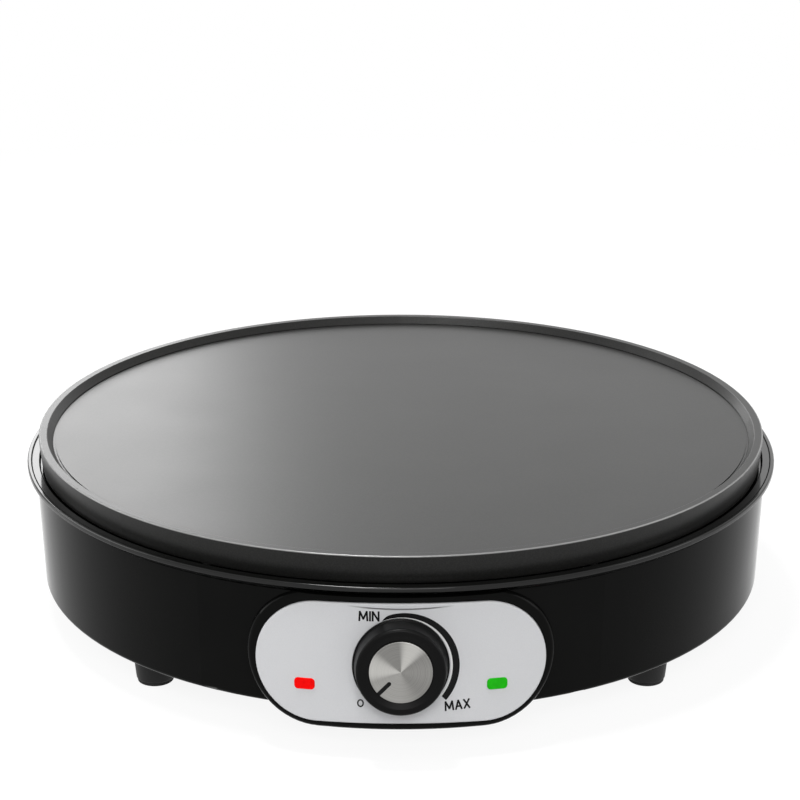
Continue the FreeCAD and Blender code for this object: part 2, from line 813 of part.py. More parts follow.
def housing():
    """Drum wall with the control pod moulded on its front, columns and cord inlet."""
    wall = big_ring([
        (wall_top_r - wall_t, wall_top_z), (wall_top_r, wall_top_z, 0.3),
        (wall_bottom_r, wall_bottom_z, bottom_round), (wall_bottom_r - wall_t, wall_bottom_z),
    ], wall_sectors)
    reach = pod_half_width
    pod = rounded_front(pod_prism(bezel_w, panel_proud), panel_proud, bezel_round)
    above = block(-reach, reach, 2 * panel_middle.y, 0, wall_top_z, 2 * wall_top_z)
    pod = pod.cut(wall_inner()).cut(above)
    pad = Part.makeCylinder(gland_flange_r + 1.5, gland_pad_out() - gland_pad_in(),
                            Vector(0, gland_pad_in(), gland_z), Vector(0, 1, 0))
    shell = fused(wall + [pod, pad])
    cavity = pod_prism(bezel_w - wall_t, panel_t + pod_wall_t)
    cavity = cavity.cut(moved(above, z=-wall_t))
    recess = fascia_outline(panel_gap, -panel_middle_to_end(), panel_h).cut(bent_solid(panel_t))
    inlet = Part.makeCylinder(gland_neck_r + slip_gap, 40, Vector(0, gland_pad_in() - 10, gland_z),
                              Vector(0, 1, 0))
    shell = shell.cut(cavity).cut(recess).cut(pod_openings()).cut(inlet)
    columns = []
    holes = []
    web_top = wall_top_z - spigot_h - web_below_spigot
    for angle in column_angles():
        column = rod(column_r, cover_top_z, wall_top_z, column_circle_r, 0)
        web = block(column_circle_r, wall_bottom_r - wall_t / 2, -web_t / 2, web_t / 2,
                    cover_top_z, web_top)
        columns += [turned_to(column, angle), turned_to(web, angle)]
        hole = rod(screw_r + pilot_gap, cover_top_z - 1, cover_top_z + column_hole,
                   column_circle_r, 0)
        top_hole = rod(screw_r + pilot_gap, wall_top_z - column_hole, wall_top_z + 1,
                       column_circle_r, 0)
        holes += [turned_to(hole, angle), turned_to(top_hole, angle)]
    return fused([shell] + columns).cut(Part.makeCompound(holes))


# Bottom cover, feet and their fasteners

def bottom_cover():
    """Round cover with vent slots, ribs and bosses for posts and feet."""
    disc = rod(cover_r, cover_bottom_z, cover_top_z)
    rib_circles = (post_circle_r + rib_from_posts, vent_circle_r + vent_length + rib_from_vents)
    ribs = [tube(r + rib_half_t, r - rib_half_t, cover_top_z - sink, cover_top_z + cover_rib_h)
            for r in rib_circles]
    pieces = [disc] + ribs
    holes = []
    for angle in post_angles:
        x, y = on_circle(post_circle_r, angle)
        pieces.append(rod(cover_boss_r, cover_top_z - sink, boss_top_z, x, y))
        holes.append(rod(screw_r + hole_gap, cover_bottom_z - 1, boss_top_z + 1, x, y))
        holes.append(rod(screw_head_r + 0.5, cover_bottom_z - 1,
                         cover_bottom_z + screw_head_h + head_room, x, y))
    for x, y in foot_places().values():
        top = cover_top_z + foot_boss_h
        pieces.append(rod(foot_boss_r, cover_top_z - sink, top, x, y))
        holes.append(rod(screw_r + pilot_gap, cover_bottom_z - 1, top - 1.5, x, y))
    for angle in column_angles():
        holes.append(rod(screw_r + hole_gap, cover_bottom_z - 1, cover_top_z + 1,
                         *on_circle(column_circle_r, angle)))
    for x, y in block_screw_places() + clamp_bar_screw_places():
        pieces.append(rod(block_boss_r, cover_top_z - sink, cover_top_z + block_boss_h, x, y))
        holes.append(rod(small_screw_r + pilot_gap, cover_top_z, cover_top_z + block_boss_h + 1, x, y))
    slot = prism(oblong(vent_length / 2, vent_w / 2, vent_w / 2, vent_circle_r + vent_length / 2),
                 cover_bottom_z - 1, cover_top_z + 1)
    for i in range(vent_count):
        angle = 360.0 * (i + 0.5) / vent_count
        if abs(angle - 90) > vent_free_angle:
            holes.append(turned_to(slot, angle))
    return joined(pieces).cut(Part.makeCompound(holes))


def cover_screws():
    one = big_screw(10)
    return [moved(one, *on_circle(column_circle_r, a), cover_bottom_z) for a in column_angles()]


def foot(x, y):
    """Tapered foot with a stepped bore."""
    low = pad_t
    body = turned([
        (0, low), (foot_bottom_r, low, 0.8), (foot_top_r, cover_bottom_z, 0), (0, cover_bottom_z),
    ])
    recess = rod(pad_stem_r + close_gap, low - 1, low + foot_ledge)
    hole = rod(screw_r + hole_gap, low, cover_bottom_z + 1)
    return moved(body.cut(recess).cut(hole), x, y)


def foot_pads():
    """Soft pad plugged into each foot."""
    pad_r = foot_bottom_r - 0.4
    stem_top = pad_t + foot_ledge - pad_stem_gap
    pad = turned([
        (0, 0), (pad_r, 0, 0.7), (pad_r, pad_t), (pad_stem_r, pad_t), (pad_stem_r, stem_top, 0.5),
        (0, stem_top),
    ])
    return [moved(pad, x, y) for x, y in foot_places().values()]


def foot_screws():
    seat = pad_t + foot_ledge
    length = cover_top_z + foot_boss_h - foot_screw_short - seat
    return [moved(big_screw(length), x, y, seat) for x, y in foot_places().values()]


# Fascia, lenses and lamps

def crease():
    """Bow for the shallow crease under the fascia's upper edge, which fades out at both ends."""
    middle = Vector(0, panel_h / 2 - crease_down, crease_lift)
    end_bend = panel_bend_r - math.sqrt(panel_bend_r ** 2 - crease_half_w ** 2)
    to_end = Vector(0, crease_rise, crease_r - crease_lift - end_bend)
    bow_r = (crease_half_w ** 2 + to_end.Length ** 2) / (2 * to_end.Length)
    to_centre = to_end.normalize()
    return Part.makeTorus(bow_r, crease_r, middle + to_centre * bow_r, to_centre.cross(Vector(1, 0, 0)))


def control_panel():
    """Silver fascia bent round the pod's face, with a crease in front and four pegs behind."""
    body = fascia_outline(0, -panel_middle_to_end(), panel_h).common(bent_solid(0))
    body = rounded_front(body, 0, panel_round).cut(bent_solid(panel_t)).cut(on_dial(crease()))
    pegs = [on_dial(round_face(rod(peg_r, -panel_t - peg_length, -panel_t + 0.5, 0, y), x))
            for x, y in peg_places()]
    cuts = [on_dial(rod(shaft_r + 2.0, -10, 10))]
    window = prism(oblong(lens_w / 2 + slip_gap, lens_h / 2 + slip_gap, lens_round), -10, 10)
    for x in (-lens_x, lens_x):
        cuts.append(on_dial(round_face(moved(window, y=-lens_drop), x)))
    return joined([body] + pegs).cut(Part.makeCompound(cuts))


def panel_nuts():
    """Push-on nut on each peg behind the pod's wall."""
    seat = -panel_t - pod_wall_t
    nut = tube(nut_r, peg_r + press_gap, seat - nut_t, seat)
    return [on_dial(round_face(moved(nut, y=y), x)) for x, y in peg_places()]


def lens(x):
    """Lens with a flange held between fascia and pod, and a stem for the lamp."""
    front = prism(oblong(lens_w / 2, lens_h / 2, lens_round), -panel_t, lens_proud)
    top = [e for e in front.Edges if abs(e.BoundBox.ZMin - lens_proud) < 1e-6]
    front = front.makeFillet(0.3, top)
    flange = prism(oblong(lens_w / 2 + lens_flange, lens_h / 2 + lens_flange, lens_round),
                   -panel_t - lens_flange_t + slip_gap, -panel_t - close_gap)
    stem = prism(oblong(lens_w / 2, lens_h / 2, lens_round), -panel_t - pod_wall_t - lens_stem,
                 -panel_t)
    piece = joined([front, flange, stem])
    return on_dial(round_face(moved(piece, y=-lens_drop), x))


def holder_back():
    """Rear of the lamp holders behind the fascia's front."""
    return -panel_t - pod_wall_t - holder_length


def lamp_holders():
    """Clip-on cap behind each lens, open at the back for the lamp's wires."""
    low = holder_back()
    high = -panel_t - pod_wall_t - loose_gap
    half_w = lens_w / 2
    half_h = lens_h / 2
    body = prism(oblong(half_w + holder_wall, half_h + holder_wall, lens_round), low, high)
    space = prism(oblong(half_w + slip_gap, half_h + slip_gap, lens_round), low + holder_floor_t,
                  high + 1)
    holes = [rod(thin_wire_r, low - 1, low + 3, dx) for dx in (-lamp_wire_x, lamp_wire_x)]
    piece = body.cut(space).cut(Part.makeCompound(holes))
    return [on_dial(round_face(moved(piece, y=-lens_drop), x)) for x in (-lens_x, lens_x)]


def neon_lamps():
    """Glass lamp behind each lens stem, standing on the holder's floor."""
    low = holder_back() + holder_floor_t
    high = low + bulb_length
    bulb = turned([(0, low), (bulb_r, low), (bulb_r, high, 1.6), (0, high)])
    return [on_dial(round_face(moved(bulb, y=-lens_drop), x)) for x in (-lens_x, lens_x)]


# Knob, shaft and thermostat

def pointer_bar(margin, low, high):
    """Bar from the knob's middle towards its rim, the shape of the pointer."""
    bar = block(pointer_inner_r - margin, disc_r + 1, -pointer_w / 2 - margin, pointer_w / 2 + margin,
                low, high)
    return turned_to(bar, pointer_angle)


def knob():
    """Knob with skirt, dished front, pointer rib and hollow back with a hub."""
    low = knob_gap
    face_z = knob_h - knob_dish
    seat_z = disc_seat_z()
    body = turned([
        (0, low), (knob_r, low, 0.3), (knob_r, low + knob_skirt_t, 0.4),
        (knob_foot_r, low + knob_skirt_t, 0.2), (knob_top_r, knob_h, 1.3),
        (disc_r + knob_land_w, knob_h - 0.1), (disc_r + disc_gap, face_z), (disc_r + disc_gap, seat_z),
        (0, seat_z),
    ])
    back = tube(knob_foot_r - knob_wall_t - knob_draft, hub_r, low - 1, shaft_top())
    rib = pointer_bar(0, seat_z - 0.5, seat_z + disc_t).common(rod(disc_r, 0, 20))
    bore = rod(shaft_r + press_gap, low - 1, shaft_top())
    flat = block(-hub_r, hub_r, shaft_flat + clip_t + slip_gap, hub_r, low - 1, shaft_top())
    bore = bore.cut(flat)
    return on_dial(joined([body.cut(back), rib]).cut(bore))


def disc_seat_z():
    return knob_h - disc_t - disc_sunk


def shaft_top():
    return disc_seat_z() - knob_floor_t


def knob_disc():
    """Aluminium disc in the knob's front, slotted round the pointer."""
    low = disc_seat_z()
    disc = turned([(0, low), (disc_r, low), (disc_r, low + disc_t, 0.25), (0, low + disc_t)])
    return on_dial(disc.cut(pointer_bar(0.04, low - 1, low + 3)))


def knob_clip():
    """Spring strip between the shaft's flat and the knob's hub."""
    low = shaft_flat + clip_play
    strip = block(-clip_half_w, clip_half_w, low, low + clip_t, knob_gap + 0.5, shaft_top() - 0.3)
    return on_dial(strip)


def thermostat_shaft():
    """Shaft with a flat for the knob, a collar in front of the bush and a screw end."""
    tip = -shaft_tip
    body = rod(shaft_r, tip, shaft_top() - close_gap)
    low = -bush_front + close_gap
    collar = rod(shaft_r + shaft_collar_w, low, low + shaft_collar_t)
    flat = block(-10, 10, shaft_flat, 10, knob_gap - 1.2, 20)
    return on_dial(joined([body, collar]).cut(flat))


def thermostat_bush():
    """Flanged bush in the bracket: the shaft runs in front, the pin slides behind."""
    front = -bush_front
    rear = -bush_rear
    flange_front = bush_flange_t - bracket_depth
    body = turned([
        (0, rear), (bush_r, rear, 0.4), (bush_r, -bracket_depth), (bush_flange_r, -bracket_depth),
        (bush_flange_r, flange_front, 0.4), (bush_r, flange_front), (bush_r, front, 0.4), (0, front),
    ])
    bore = rod(shaft_r + shaft_gap, -shaft_tip - tip_gap / 2, front + 1)
    pin_bore = rod(pin_r + pin_gap, rear - 1, front)
    return on_dial(body.cut(bore).cut(pin_bore))


def pin_front():
    """Front end of the adjusting pin, just behind the shaft's tip."""
    return -shaft_tip - tip_gap


def adjusting_pin():
    """Ceramic pin guided in the bush, fed towards the contact leaf."""
    return on_dial(rod(pin_r, pin_front() - pin_length, pin_front()))


def bracket_top_y():
    """Where the bracket's leaning plate meets its flange."""
    lean = math.radians(panel_lean)
    rise = bracket_seat_z - panel_middle.z + bracket_depth * math.sin(lean)
    return panel_middle.y + bracket_depth * math.cos(lean) + rise * math.tan(lean)


def bracket_screw_places():
    y = -math.sqrt(bracket_screw_r ** 2 - bracket_screw_x ** 2)
    return [(-bracket_screw_x, y), (bracket_screw_x, y)]


def thermostat_bracket():
    """Bent steel plate that hangs the thermostat from the cooking plate."""
    foot = panel_z - cover_top_z - bracket_floor_gap
    leaning = on_dial(block(-bracket_half_w, bracket_half_w, -foot, housing_h,
                            -bracket_depth - bracket_t, -bracket_depth))
    above = block(-bracket_half_w - 1, bracket_half_w + 1, 2 * panel_middle.y, 0,
                  bracket_seat_z, 2 * bracket_seat_z)
    leaning = leaning.cut(above)
    screw_y = bracket_screw_places()[0][1]
    flange = block(-bracket_half_w, bracket_half_w, screw_y - bracket_flange_edge,
                   bracket_top_y() + 0.5, bracket_seat_z - bracket_t, bracket_seat_z)
    holes = [rod(small_screw_r + hole_gap, bracket_seat_z - 5, bracket_seat_z + 5, x, y)
             for x, y in bracket_screw_places()]
    back = -bracket_depth - 2 * bracket_t
    bush_hole = on_dial(rod(bush_r + press_gap, back, -bracket_depth + bracket_t))
    rivet_hole = on_dial(rod(rivet_r + press_gap, back, -bracket_depth + bracket_t, 0, stack_up))
    return joined([leaning, flange]).cut(Part.makeCompound(holes + [bush_hole, rivet_hole]))


def bracket_screws():
    one = small_screw(short_screw)
    return [moved(one, x, y, bracket_seat_z - bracket_t) for x, y in bracket_screw_places()]


def stack_levels():
    """Fronts of the stack's layers, inwards from the bracket's back."""
    start = -bracket_depth - bracket_t
    bimetal = start - bimetal_space
    first_leaf = pin_front() - pin_length - pin_play
    second_leaf = first_leaf - leaf_space
    return start, bimetal, first_leaf, second_leaf


def stack_end():
    """Rear of the stack's last ring."""
    second_leaf = stack_levels()[-1]
    return second_leaf - leaf_t - last_ring_t


def insulator_stack():
    """Ceramic rings between the switch's layers."""
    start, bimetal, first_leaf, second_leaf = stack_levels()
    spans = [
        (bimetal, start),
        (first_leaf, bimetal - bimetal_t),
        (second_leaf, first_leaf - leaf_t),
        (stack_end(), second_leaf - leaf_t),
    ]
    return [on_dial(tube(stack_r, rivet_r + slip_gap, low, high, 0, stack_up)) for low, high in spans]


def bimetal_strip():
    """Two-metal strip that bends with the plate's heat, open round the bush."""
    top = stack_levels()[1]
    half_w = bimetal_half_w
    end = stack_up + leaf_overhang
    strip = prism([(-half_w, -half_w, 3), (half_w, -half_w, 3), (half_w, stack_up),
                   (half_w - 3, end, 2), (3 - half_w, end, 2), (-half_w, stack_up)],
                  top - bimetal_t, top)
    window = rod(bush_r + 0.8, top - 5, top + 5)
    rivet = rod(rivet_r + slip_gap, top - 5, top + 5, 0, stack_up)
    return on_dial(strip.cut(window).cut(rivet))


def contact_leaf(top, side, button_below):
    """Spring leaf with a contact button and a side tab for its wire."""
    half_w = leaf_w / 2
    low = top - leaf_t
    strip = block(-half_w, half_w, stack_up - leaf_reach, stack_up + leaf_overhang, low, top)
    tab_end = side * leaf_tab_reach
    tab_half_w = leaf_tab_w / 2
    tab = block(min(0, tab_end), max(0, tab_end), stack_up - tab_half_w, stack_up + tab_half_w,
                low, top)
    if button_below:
        button = rod(button_r, low - button_h, low + 0.1, 0, button_y)
    else:
        button = rod(button_r, top - 0.1, top + button_h, 0, button_y)
    rivet = rod(rivet_r + slip_gap, low - 5, top + 5, 0, stack_up)
    return on_dial(joined([strip, tab, button]).cut(rivet))


def contact_springs():
    """The two leaves that open and close the circuit."""
    _, _, first_leaf, second_leaf = stack_levels()
    return [contact_leaf(first_leaf, 1, True), contact_leaf(second_leaf, -1, False)]


def stack_rivet():
    """Rivet through bracket and stack."""
    front = -bracket_depth
    rear = stack_end()
    body = rod(rivet_r, rear - 0.5, front + 0.5, 0, stack_up)
    heads = [rod(rivet_head_r, front, front + rivet_head_t, 0, stack_up),
             rod(rivet_head_r, rear - rivet_head_t, rear, 0, stack_up)]
    return on_dial(joined([body] + heads))


# Cord inlet and supply

def gland_pad_out():
    """Y of the flat outside seat round the cord inlet."""
    share = (gland_z - wall_bottom_z) / housing_h
    return wall_bottom_r + wall_taper * share + gland_pad_proud


def gland_pad_in():
    """Y of the flat inside seat round the cord inlet."""
    return gland_pad_out() - wall_t - 2 * gland_pad_proud


def cord_gland():
    """Soft bush with a flange on both sides of the wall, open for the cord."""
    out = gland_pad_out()
    inside = gland_pad_in()
    thick = out - inside
    body = turned([
        (gland_bore_r, -gland_lip_t), (gland_flange_r - 1.2, -gland_lip_t, 0.5),
        (gland_flange_r - 1.2, 0), (gland_neck_r, 0), (gland_neck_r, thick), (gland_flange_r, thick),
        (gland_flange_r, thick + gland_flange_t, 1.0), (gland_bore_r, thick + gland_flange_t, 0.6),
    ])
    body.rotate(Vector(0, 0, 0), Vector(1, 0, 0), -90)
    return moved(body, 0, inside, gland_z)


def block_screw_places():
    x = block_half_w - block_screw_edge
    return [(-x, block_y), (x, block_y)]


def clamp_bar_screw_places():
    x = clamp_bar_half_w - block_boss_r
    return [(-x, clamp_bar_y), (x, clamp_bar_y)]


def block_low_z():
    return cover_top_z + block_boss_h


def block_ways():
    """Middle of each of the block's three ways for wires."""
    return [Vector(x, block_y, block_low_z() + block_way_up)
            for x in (-block_way_x, 0, block_way_x)]


def grub_places():
    """Places on the middle of the ways, under the screws at both ends."""
    return [way + Vector(0, dy, 0)
            for way in block_ways() for dy in (-block_half_d / 2, block_half_d / 2)]


def level_tube(outer, inner, length, middle):
    """Tube along Y round a middle point."""
    start = middle - Vector(0, length / 2, 0)
    body = Part.makeCylinder(outer, length, start, Vector(0, 1, 0))
    if inner == 0:
        return body
    return body.cut(Part.makeCylinder(inner, length, start, Vector(0, 1, 0)))


def terminal_block():
    """Ceramic block with three wire ways and two fixing holes."""
    low = block_low_z()
    body = prism(oblong(block_half_w, block_half_d, 1.5, 0, block_y), low, low + block_h)
    cuts = [level_tube(sleeve_r, 0, 4 * block_half_d, way) for way in block_ways()]
    cuts += [rod(grub_r, p.z, low + block_h + 1, p.x, p.y) for p in grub_places()]
    for x, y in block_screw_places():
        cuts.append(rod(small_screw_r + hole_gap, low - 1, low + block_h + 1, x, y))
        cuts.append(rod(small_head_r + 0.3, low + block_screw_up, low + block_h + 1, x, y))
    return body.cut(Part.makeCompound(cuts))


def terminal_sleeves():
    """Brass tube in each way of the block, gripped round the wire."""
    return [level_tube(sleeve_r, wire_r, 2 * block_half_d - 2, way) for way in block_ways()]


def grub_screws():
    """Screws that press on the sleeves."""
    low = sleeve_r
    high = sleeve_r + grub_h
    body = rod(grub_r - pilot_gap, low, high)
    one = body.cut(block(-grub_r, grub_r, -0.3, 0.3, high - 1, high + 1))
    return [moved(one, p.x, p.y, p.z) for p in grub_places()]


def block_screws():
    one = upside_down(small_screw(block_screw_up + small_screw_bite))
    return [moved(one, x, y, block_low_z() + block_screw_up) for x, y in block_screw_places()]


def cord_clamp():
    """Saddle that grips the cord inside the inlet."""
    low = block_low_z()
    end = clamp_bar_half_w
    way = cord_way_w
    under = low + clamp_bar_h - clamp_bar_t
    wing = low + clamp_bar_t
    top = low + clamp_bar_h
    hump = way + clamp_bar_t
    face = outline([
        (-end, low), (-way, low), (-way, under, 3), (way, under, 3), (way, low),
        (end, low), (end, wing, 1), (hump, wing), (hump, top, 4), (-hump, top, 4), (-hump, wing),
        (-end, wing, 1),
    ], lambda p: Vector(p.x, clamp_bar_y - clamp_bar_half_d, p.y))
    body = face.extrude(Vector(0, 2 * clamp_bar_half_d, 0))
    holes = [rod(small_screw_r + hole_gap, low - 1, top, x, y) for x, y in clamp_bar_screw_places()]
    return body.cut(Part.makeCompound(holes))


def cord_clamp_screws():
    one = upside_down(small_screw(clamp_bar_t + small_screw_bite))
    return [moved(one, x, y, block_low_z() + clamp_bar_t) for x, y in clamp_bar_screw_places()]


# Cut-out and earth on the plate's underside

def fuse_screw_place():
    return on_circle(tag_screw_r, fuse_angle)


def earth_screw_place():
    return on_circle(tag_screw_r, earth_angle)


def fuse_centre():
    """Middle of the thermal fuse, beside its screw."""
    x, y = fuse_screw_place()
    return Vector(x + fuse_beside_screw, y - fuse_before_screw, bracket_seat_z - sheet_t - fuse_r)


def cross_rod(radius, length, middle):
    """Cylinder along X round a middle point."""
    return Part.makeCylinder(radius, length, middle - Vector(length / 2, 0, 0), Vector(1, 0, 0))


def thermal_fuse():
    """Cartridge with a pin at each end, lying along X."""
    middle = fuse_centre()
    pin_to_pin = fuse_length + 2 * fuse_pin_length
    return joined([cross_rod(fuse_r, fuse_length, middle), cross_rod(fuse_pin_r, pin_to_pin, middle)])


def fuse_clip():
    """Sheet clip that holds the fuse up under the plate."""
    x, y = fuse_screw_place()
    middle = fuse_centre()
    top = bracket_seat_z
    edge = boss_r + 0.5
    half_band = fuse_length / 4
    sheet = block(x - edge, middle.x + half_band, middle.y - fuse_r, y + edge, top - sheet_t, top)
    band = cross_rod(fuse_r + sheet_t, 2 * half_band, middle)
    hollow = cross_rod(fuse_r, 2 * fuse_length, middle)
    hole = rod(small_screw_r + hole_gap, top - 5, top + 5, x, y)
    return joined([sheet, band]).cut(hollow).cut(hole)


def earth_tag():
    """Eyelet with a tail for the earth wire."""
    x, y = earth_screw_place()
    top = bracket_seat_z
    eye = rod(boss_r, top - tag_t, top, x, y)
    tail = block(x, x + tag_tail, y - boss_r / 2, y + boss_r / 2, top - tag_t, top)
    hole = rod(small_screw_r + hole_gap, top - 5, top + 5, x, y)
    return joined([eye, tail]).cut(hole)


def plate_tag_screws():
    """Screws of the fuse clip and the earth tag."""
    one = small_screw(short_screw)
    fuse_x, fuse_y = fuse_screw_place()
    earth_x, earth_y = earth_screw_place()
    return [moved(one, fuse_x, fuse_y, bracket_seat_z - sheet_t),
            moved(one, earth_x, earth_y, bracket_seat_z - tag_t)]


# Wires held inside, and their push-on connectors

def connector(tab_w, tab_t):
    """Sleeve pushed on a flat tab from below: the tab's end is at z = 0, the tab along X."""
    low = -connector_end_t
    high = connector_length - connector_end_t
    body = prism(oblong(connector_half_w, connector_half_t, 0.8), low, high)
    return body.cut(block(-tab_w / 2, tab_w / 2, -tab_t / 2, tab_t / 2, 0, high + 1))


def leaf_tab_end(leaf):
    """End of a leaf's tab on the dial, middle of its thickness: leaf 0 to the right, 1 to the left."""
    top = stack_levels()[2 + leaf]
    side = 1 if leaf == 0 else -1
    return side * leaf_tab_reach, stack_up, top - leaf_t / 2


def element_tab_low_z():
    return element_end_z() - seal_h - element_tab_length


def push_on_connectors():
    """Connectors on the element's tabs and on the switch's tabs."""
    pieces = [moved(connector(element_tab_w, element_tab_t), x, y, element_tab_low_z())
              for x, y in element_end_places()]
    for leaf in (0, 1):
        piece = connector(leaf_tab_w, leaf_t)
        piece.rotate(Vector(0, 0, 0), Vector(1, 1, 1), 120)
        if leaf == 0:
            piece.rotate(Vector(0, 0, 0), Vector(0, 1, 0), 180)
        pieces.append(on_dial(moved(piece, *leaf_tab_end(leaf))))
    return pieces


def leaf_connector_end(leaf):
    """Where the wire meets the connector on a leaf's tab."""
    x, y, z = leaf_tab_end(leaf)
    side = 1 if leaf == 0 else -1
    return dial_point(x + side * connector_end_t, y, z)


def element_connector_end(side):
    """Where the wire meets the connector under the element's right (0) or left (1) tab."""
    x, y = element_end_places()[side]
    return Vector(x, y, element_tab_low_z() - connector_end_t)


def block_end(way):
    """Start of a wire in one of the block's ways, and the point where it is clear of the block."""
    middle = block_ways()[way]
    return [middle - Vector(0, block_half_d / 2 - wire_in_block, 0),
            middle - Vector(0, 2 * block_half_d, 0)]


def fuse_end(side):
    """Outer end of the fuse's pin on the left (-1) or right (1)."""
    return fuse_centre() + Vector(side * (fuse_length / 2 + fuse_pin_length), 0, 0)


def live_lead():
    """From the block round the left of the posts to the second leaf."""
    end = leaf_connector_end(1)
    side = post_circle_r + wire_round_posts
    points = block_end(0) + [
        Vector(-side, post_circle_r, wire_z),
        Vector(-side, -post_circle_r, wire_z),
        Vector(end.x - live_beside_leaf, end.y + live_behind_leaf, wire_z),
        Vector(end.x - live_beside_leaf, end.y, end.z),
        end,
    ]
    return wire_path(points, wire_r)


def element_lead():
    """From the first leaf to the element's right tab."""
    start = leaf_connector_end(0)
    end = element_connector_end(0)
    beyond = start + Vector(wire_run_out, 0, 0)
    points = [
        start,
        beyond,
        Vector(beyond.x, end.y - wire_before_tab, wire_z),
        Vector(end.x, end.y, wire_z),
        end,
    ]
    return wire_path(points, wire_r)


def fuse_lead():
    """From the fuse round the right of the posts to the element's left tab."""
    start = fuse_end(1)
    end = element_connector_end(1)
    beyond = start + Vector(wire_run_out, 0, 0)
    side = post_circle_r + wire_round_posts
    low = wire_z - fuse_wire_drop
    points = [
        start,
        beyond,
        Vector(beyond.x, beyond.y - fuse_wire_inwards, wire_z + fuse_wire_rise),
        Vector(side, post_circle_r, wire_z),
        Vector(side, -post_circle_r / 2, wire_z),
        Vector(end.x, end.y + wire_run_out, low),
        Vector(end.x, end.y, low),
        end,
    ]
    return wire_path(points, wire_r)


def rising_lead(way, end, beyond):
    """From one of the block's ways up and back over the block, into the end from beside it."""
    turn = block_end(way)
    crossing_z = turn[1].z + wire_over_block
    points = turn + [
        Vector(turn[1].x, turn[1].y, crossing_z),
        Vector(beyond.x, beyond.y, crossing_z),
        beyond,
        end,
    ]
    return wire_path(points, wire_r)


def neutral_lead():
    """From the block to the fuse, behind the reflector's edge."""
    end = fuse_end(-1)
    return rising_lead(2, end, end - Vector(wire_run_out, 0, 0))


def earth_lead():
    """From the block to the earth tag under the plate."""
    x, y = earth_screw_place()
    end = Vector(x + tag_tail, y, bracket_seat_z - tag_t / 2)
    return rising_lead(1, end, end + Vector(wire_run_out, 0, 0))


def lamp_point(side, wire, depth):
    """Point on a lamp wire's axis, depth behind the holder; side and wire are -1 or 1."""
    turn = math.asin(side * lens_x / panel_bend_r)
    across = wire * lamp_wire_x
    inwards = panel_bend_r + holder_back() - depth
    x = across * math.cos(turn) + inwards * math.sin(turn)
    z = inwards * math.cos(turn) - across * math.sin(turn) - panel_bend_r
    return dial_point(x, -lens_drop, z)


def under_leaf_connector(leaf, inset):
    """A point below a leaf's connector and the point where a wire meets it from there."""
    end_x, y, z = leaf_tab_end(leaf)
    x = end_x - inset if leaf == 0 else end_x + inset
    low = y - connector_half_w
    return [dial_point(x, low - leaf_wire_drop, z), dial_point(x, low, z)]


def lamp_leads():
    """Power lamp between live and neutral, ready lamp across the switch."""
    tab_x, tab_y = element_end_places()[1]
    tab_z = element_tab_low_z() + connector_end_t
    beside_tab = Vector(tab_x - connector_half_w, tab_y, tab_z)
    aside_x = beside_tab.x - lamp_wire_aside
    to_tab = [
        Vector(aside_x, tab_y - lamp_wire_before, wire_z + lamp_wire_rise),
        Vector(aside_x, tab_y, tab_z),
        beside_tab,
    ]
    crossing_y = tab_y - lamp_wire_crossing
    crossing = [Vector(x, crossing_y, wire_z - lamp_wire_drop) for x in (crossing_right, crossing_left)]
    routes = [
        (-1, 1, under_leaf_connector(1, near_connector)),
        (-1, -1, to_tab),
        (1, -1, under_leaf_connector(0, near_connector)),
        (1, 1, crossing + under_leaf_connector(1, far_connector)),
    ]
    wires = []
    for side, wire, points in routes:
        start = [lamp_point(side, wire, -holder_floor_t), lamp_point(side, wire, lamp_run_out)]
        wires.append(wire_path(start + points, thin_wire_r))
    return wires


def centred(pieces):
    """Moves all pieces so that the origin is on the table under the middle of their box."""
    box = FreeCAD.BoundBox()
    for solids in pieces.values():
        for solid in solids:
            box.add(solid.optimalBoundingBox(False))
    shift = Vector(-(box.XMin + box.XMax) / 2, -(box.YMin + box.YMax) / 2, -box.ZMin)
    for solids in pieces.values():
        for solid in solids:
            solid.translate(shift)
    return shift


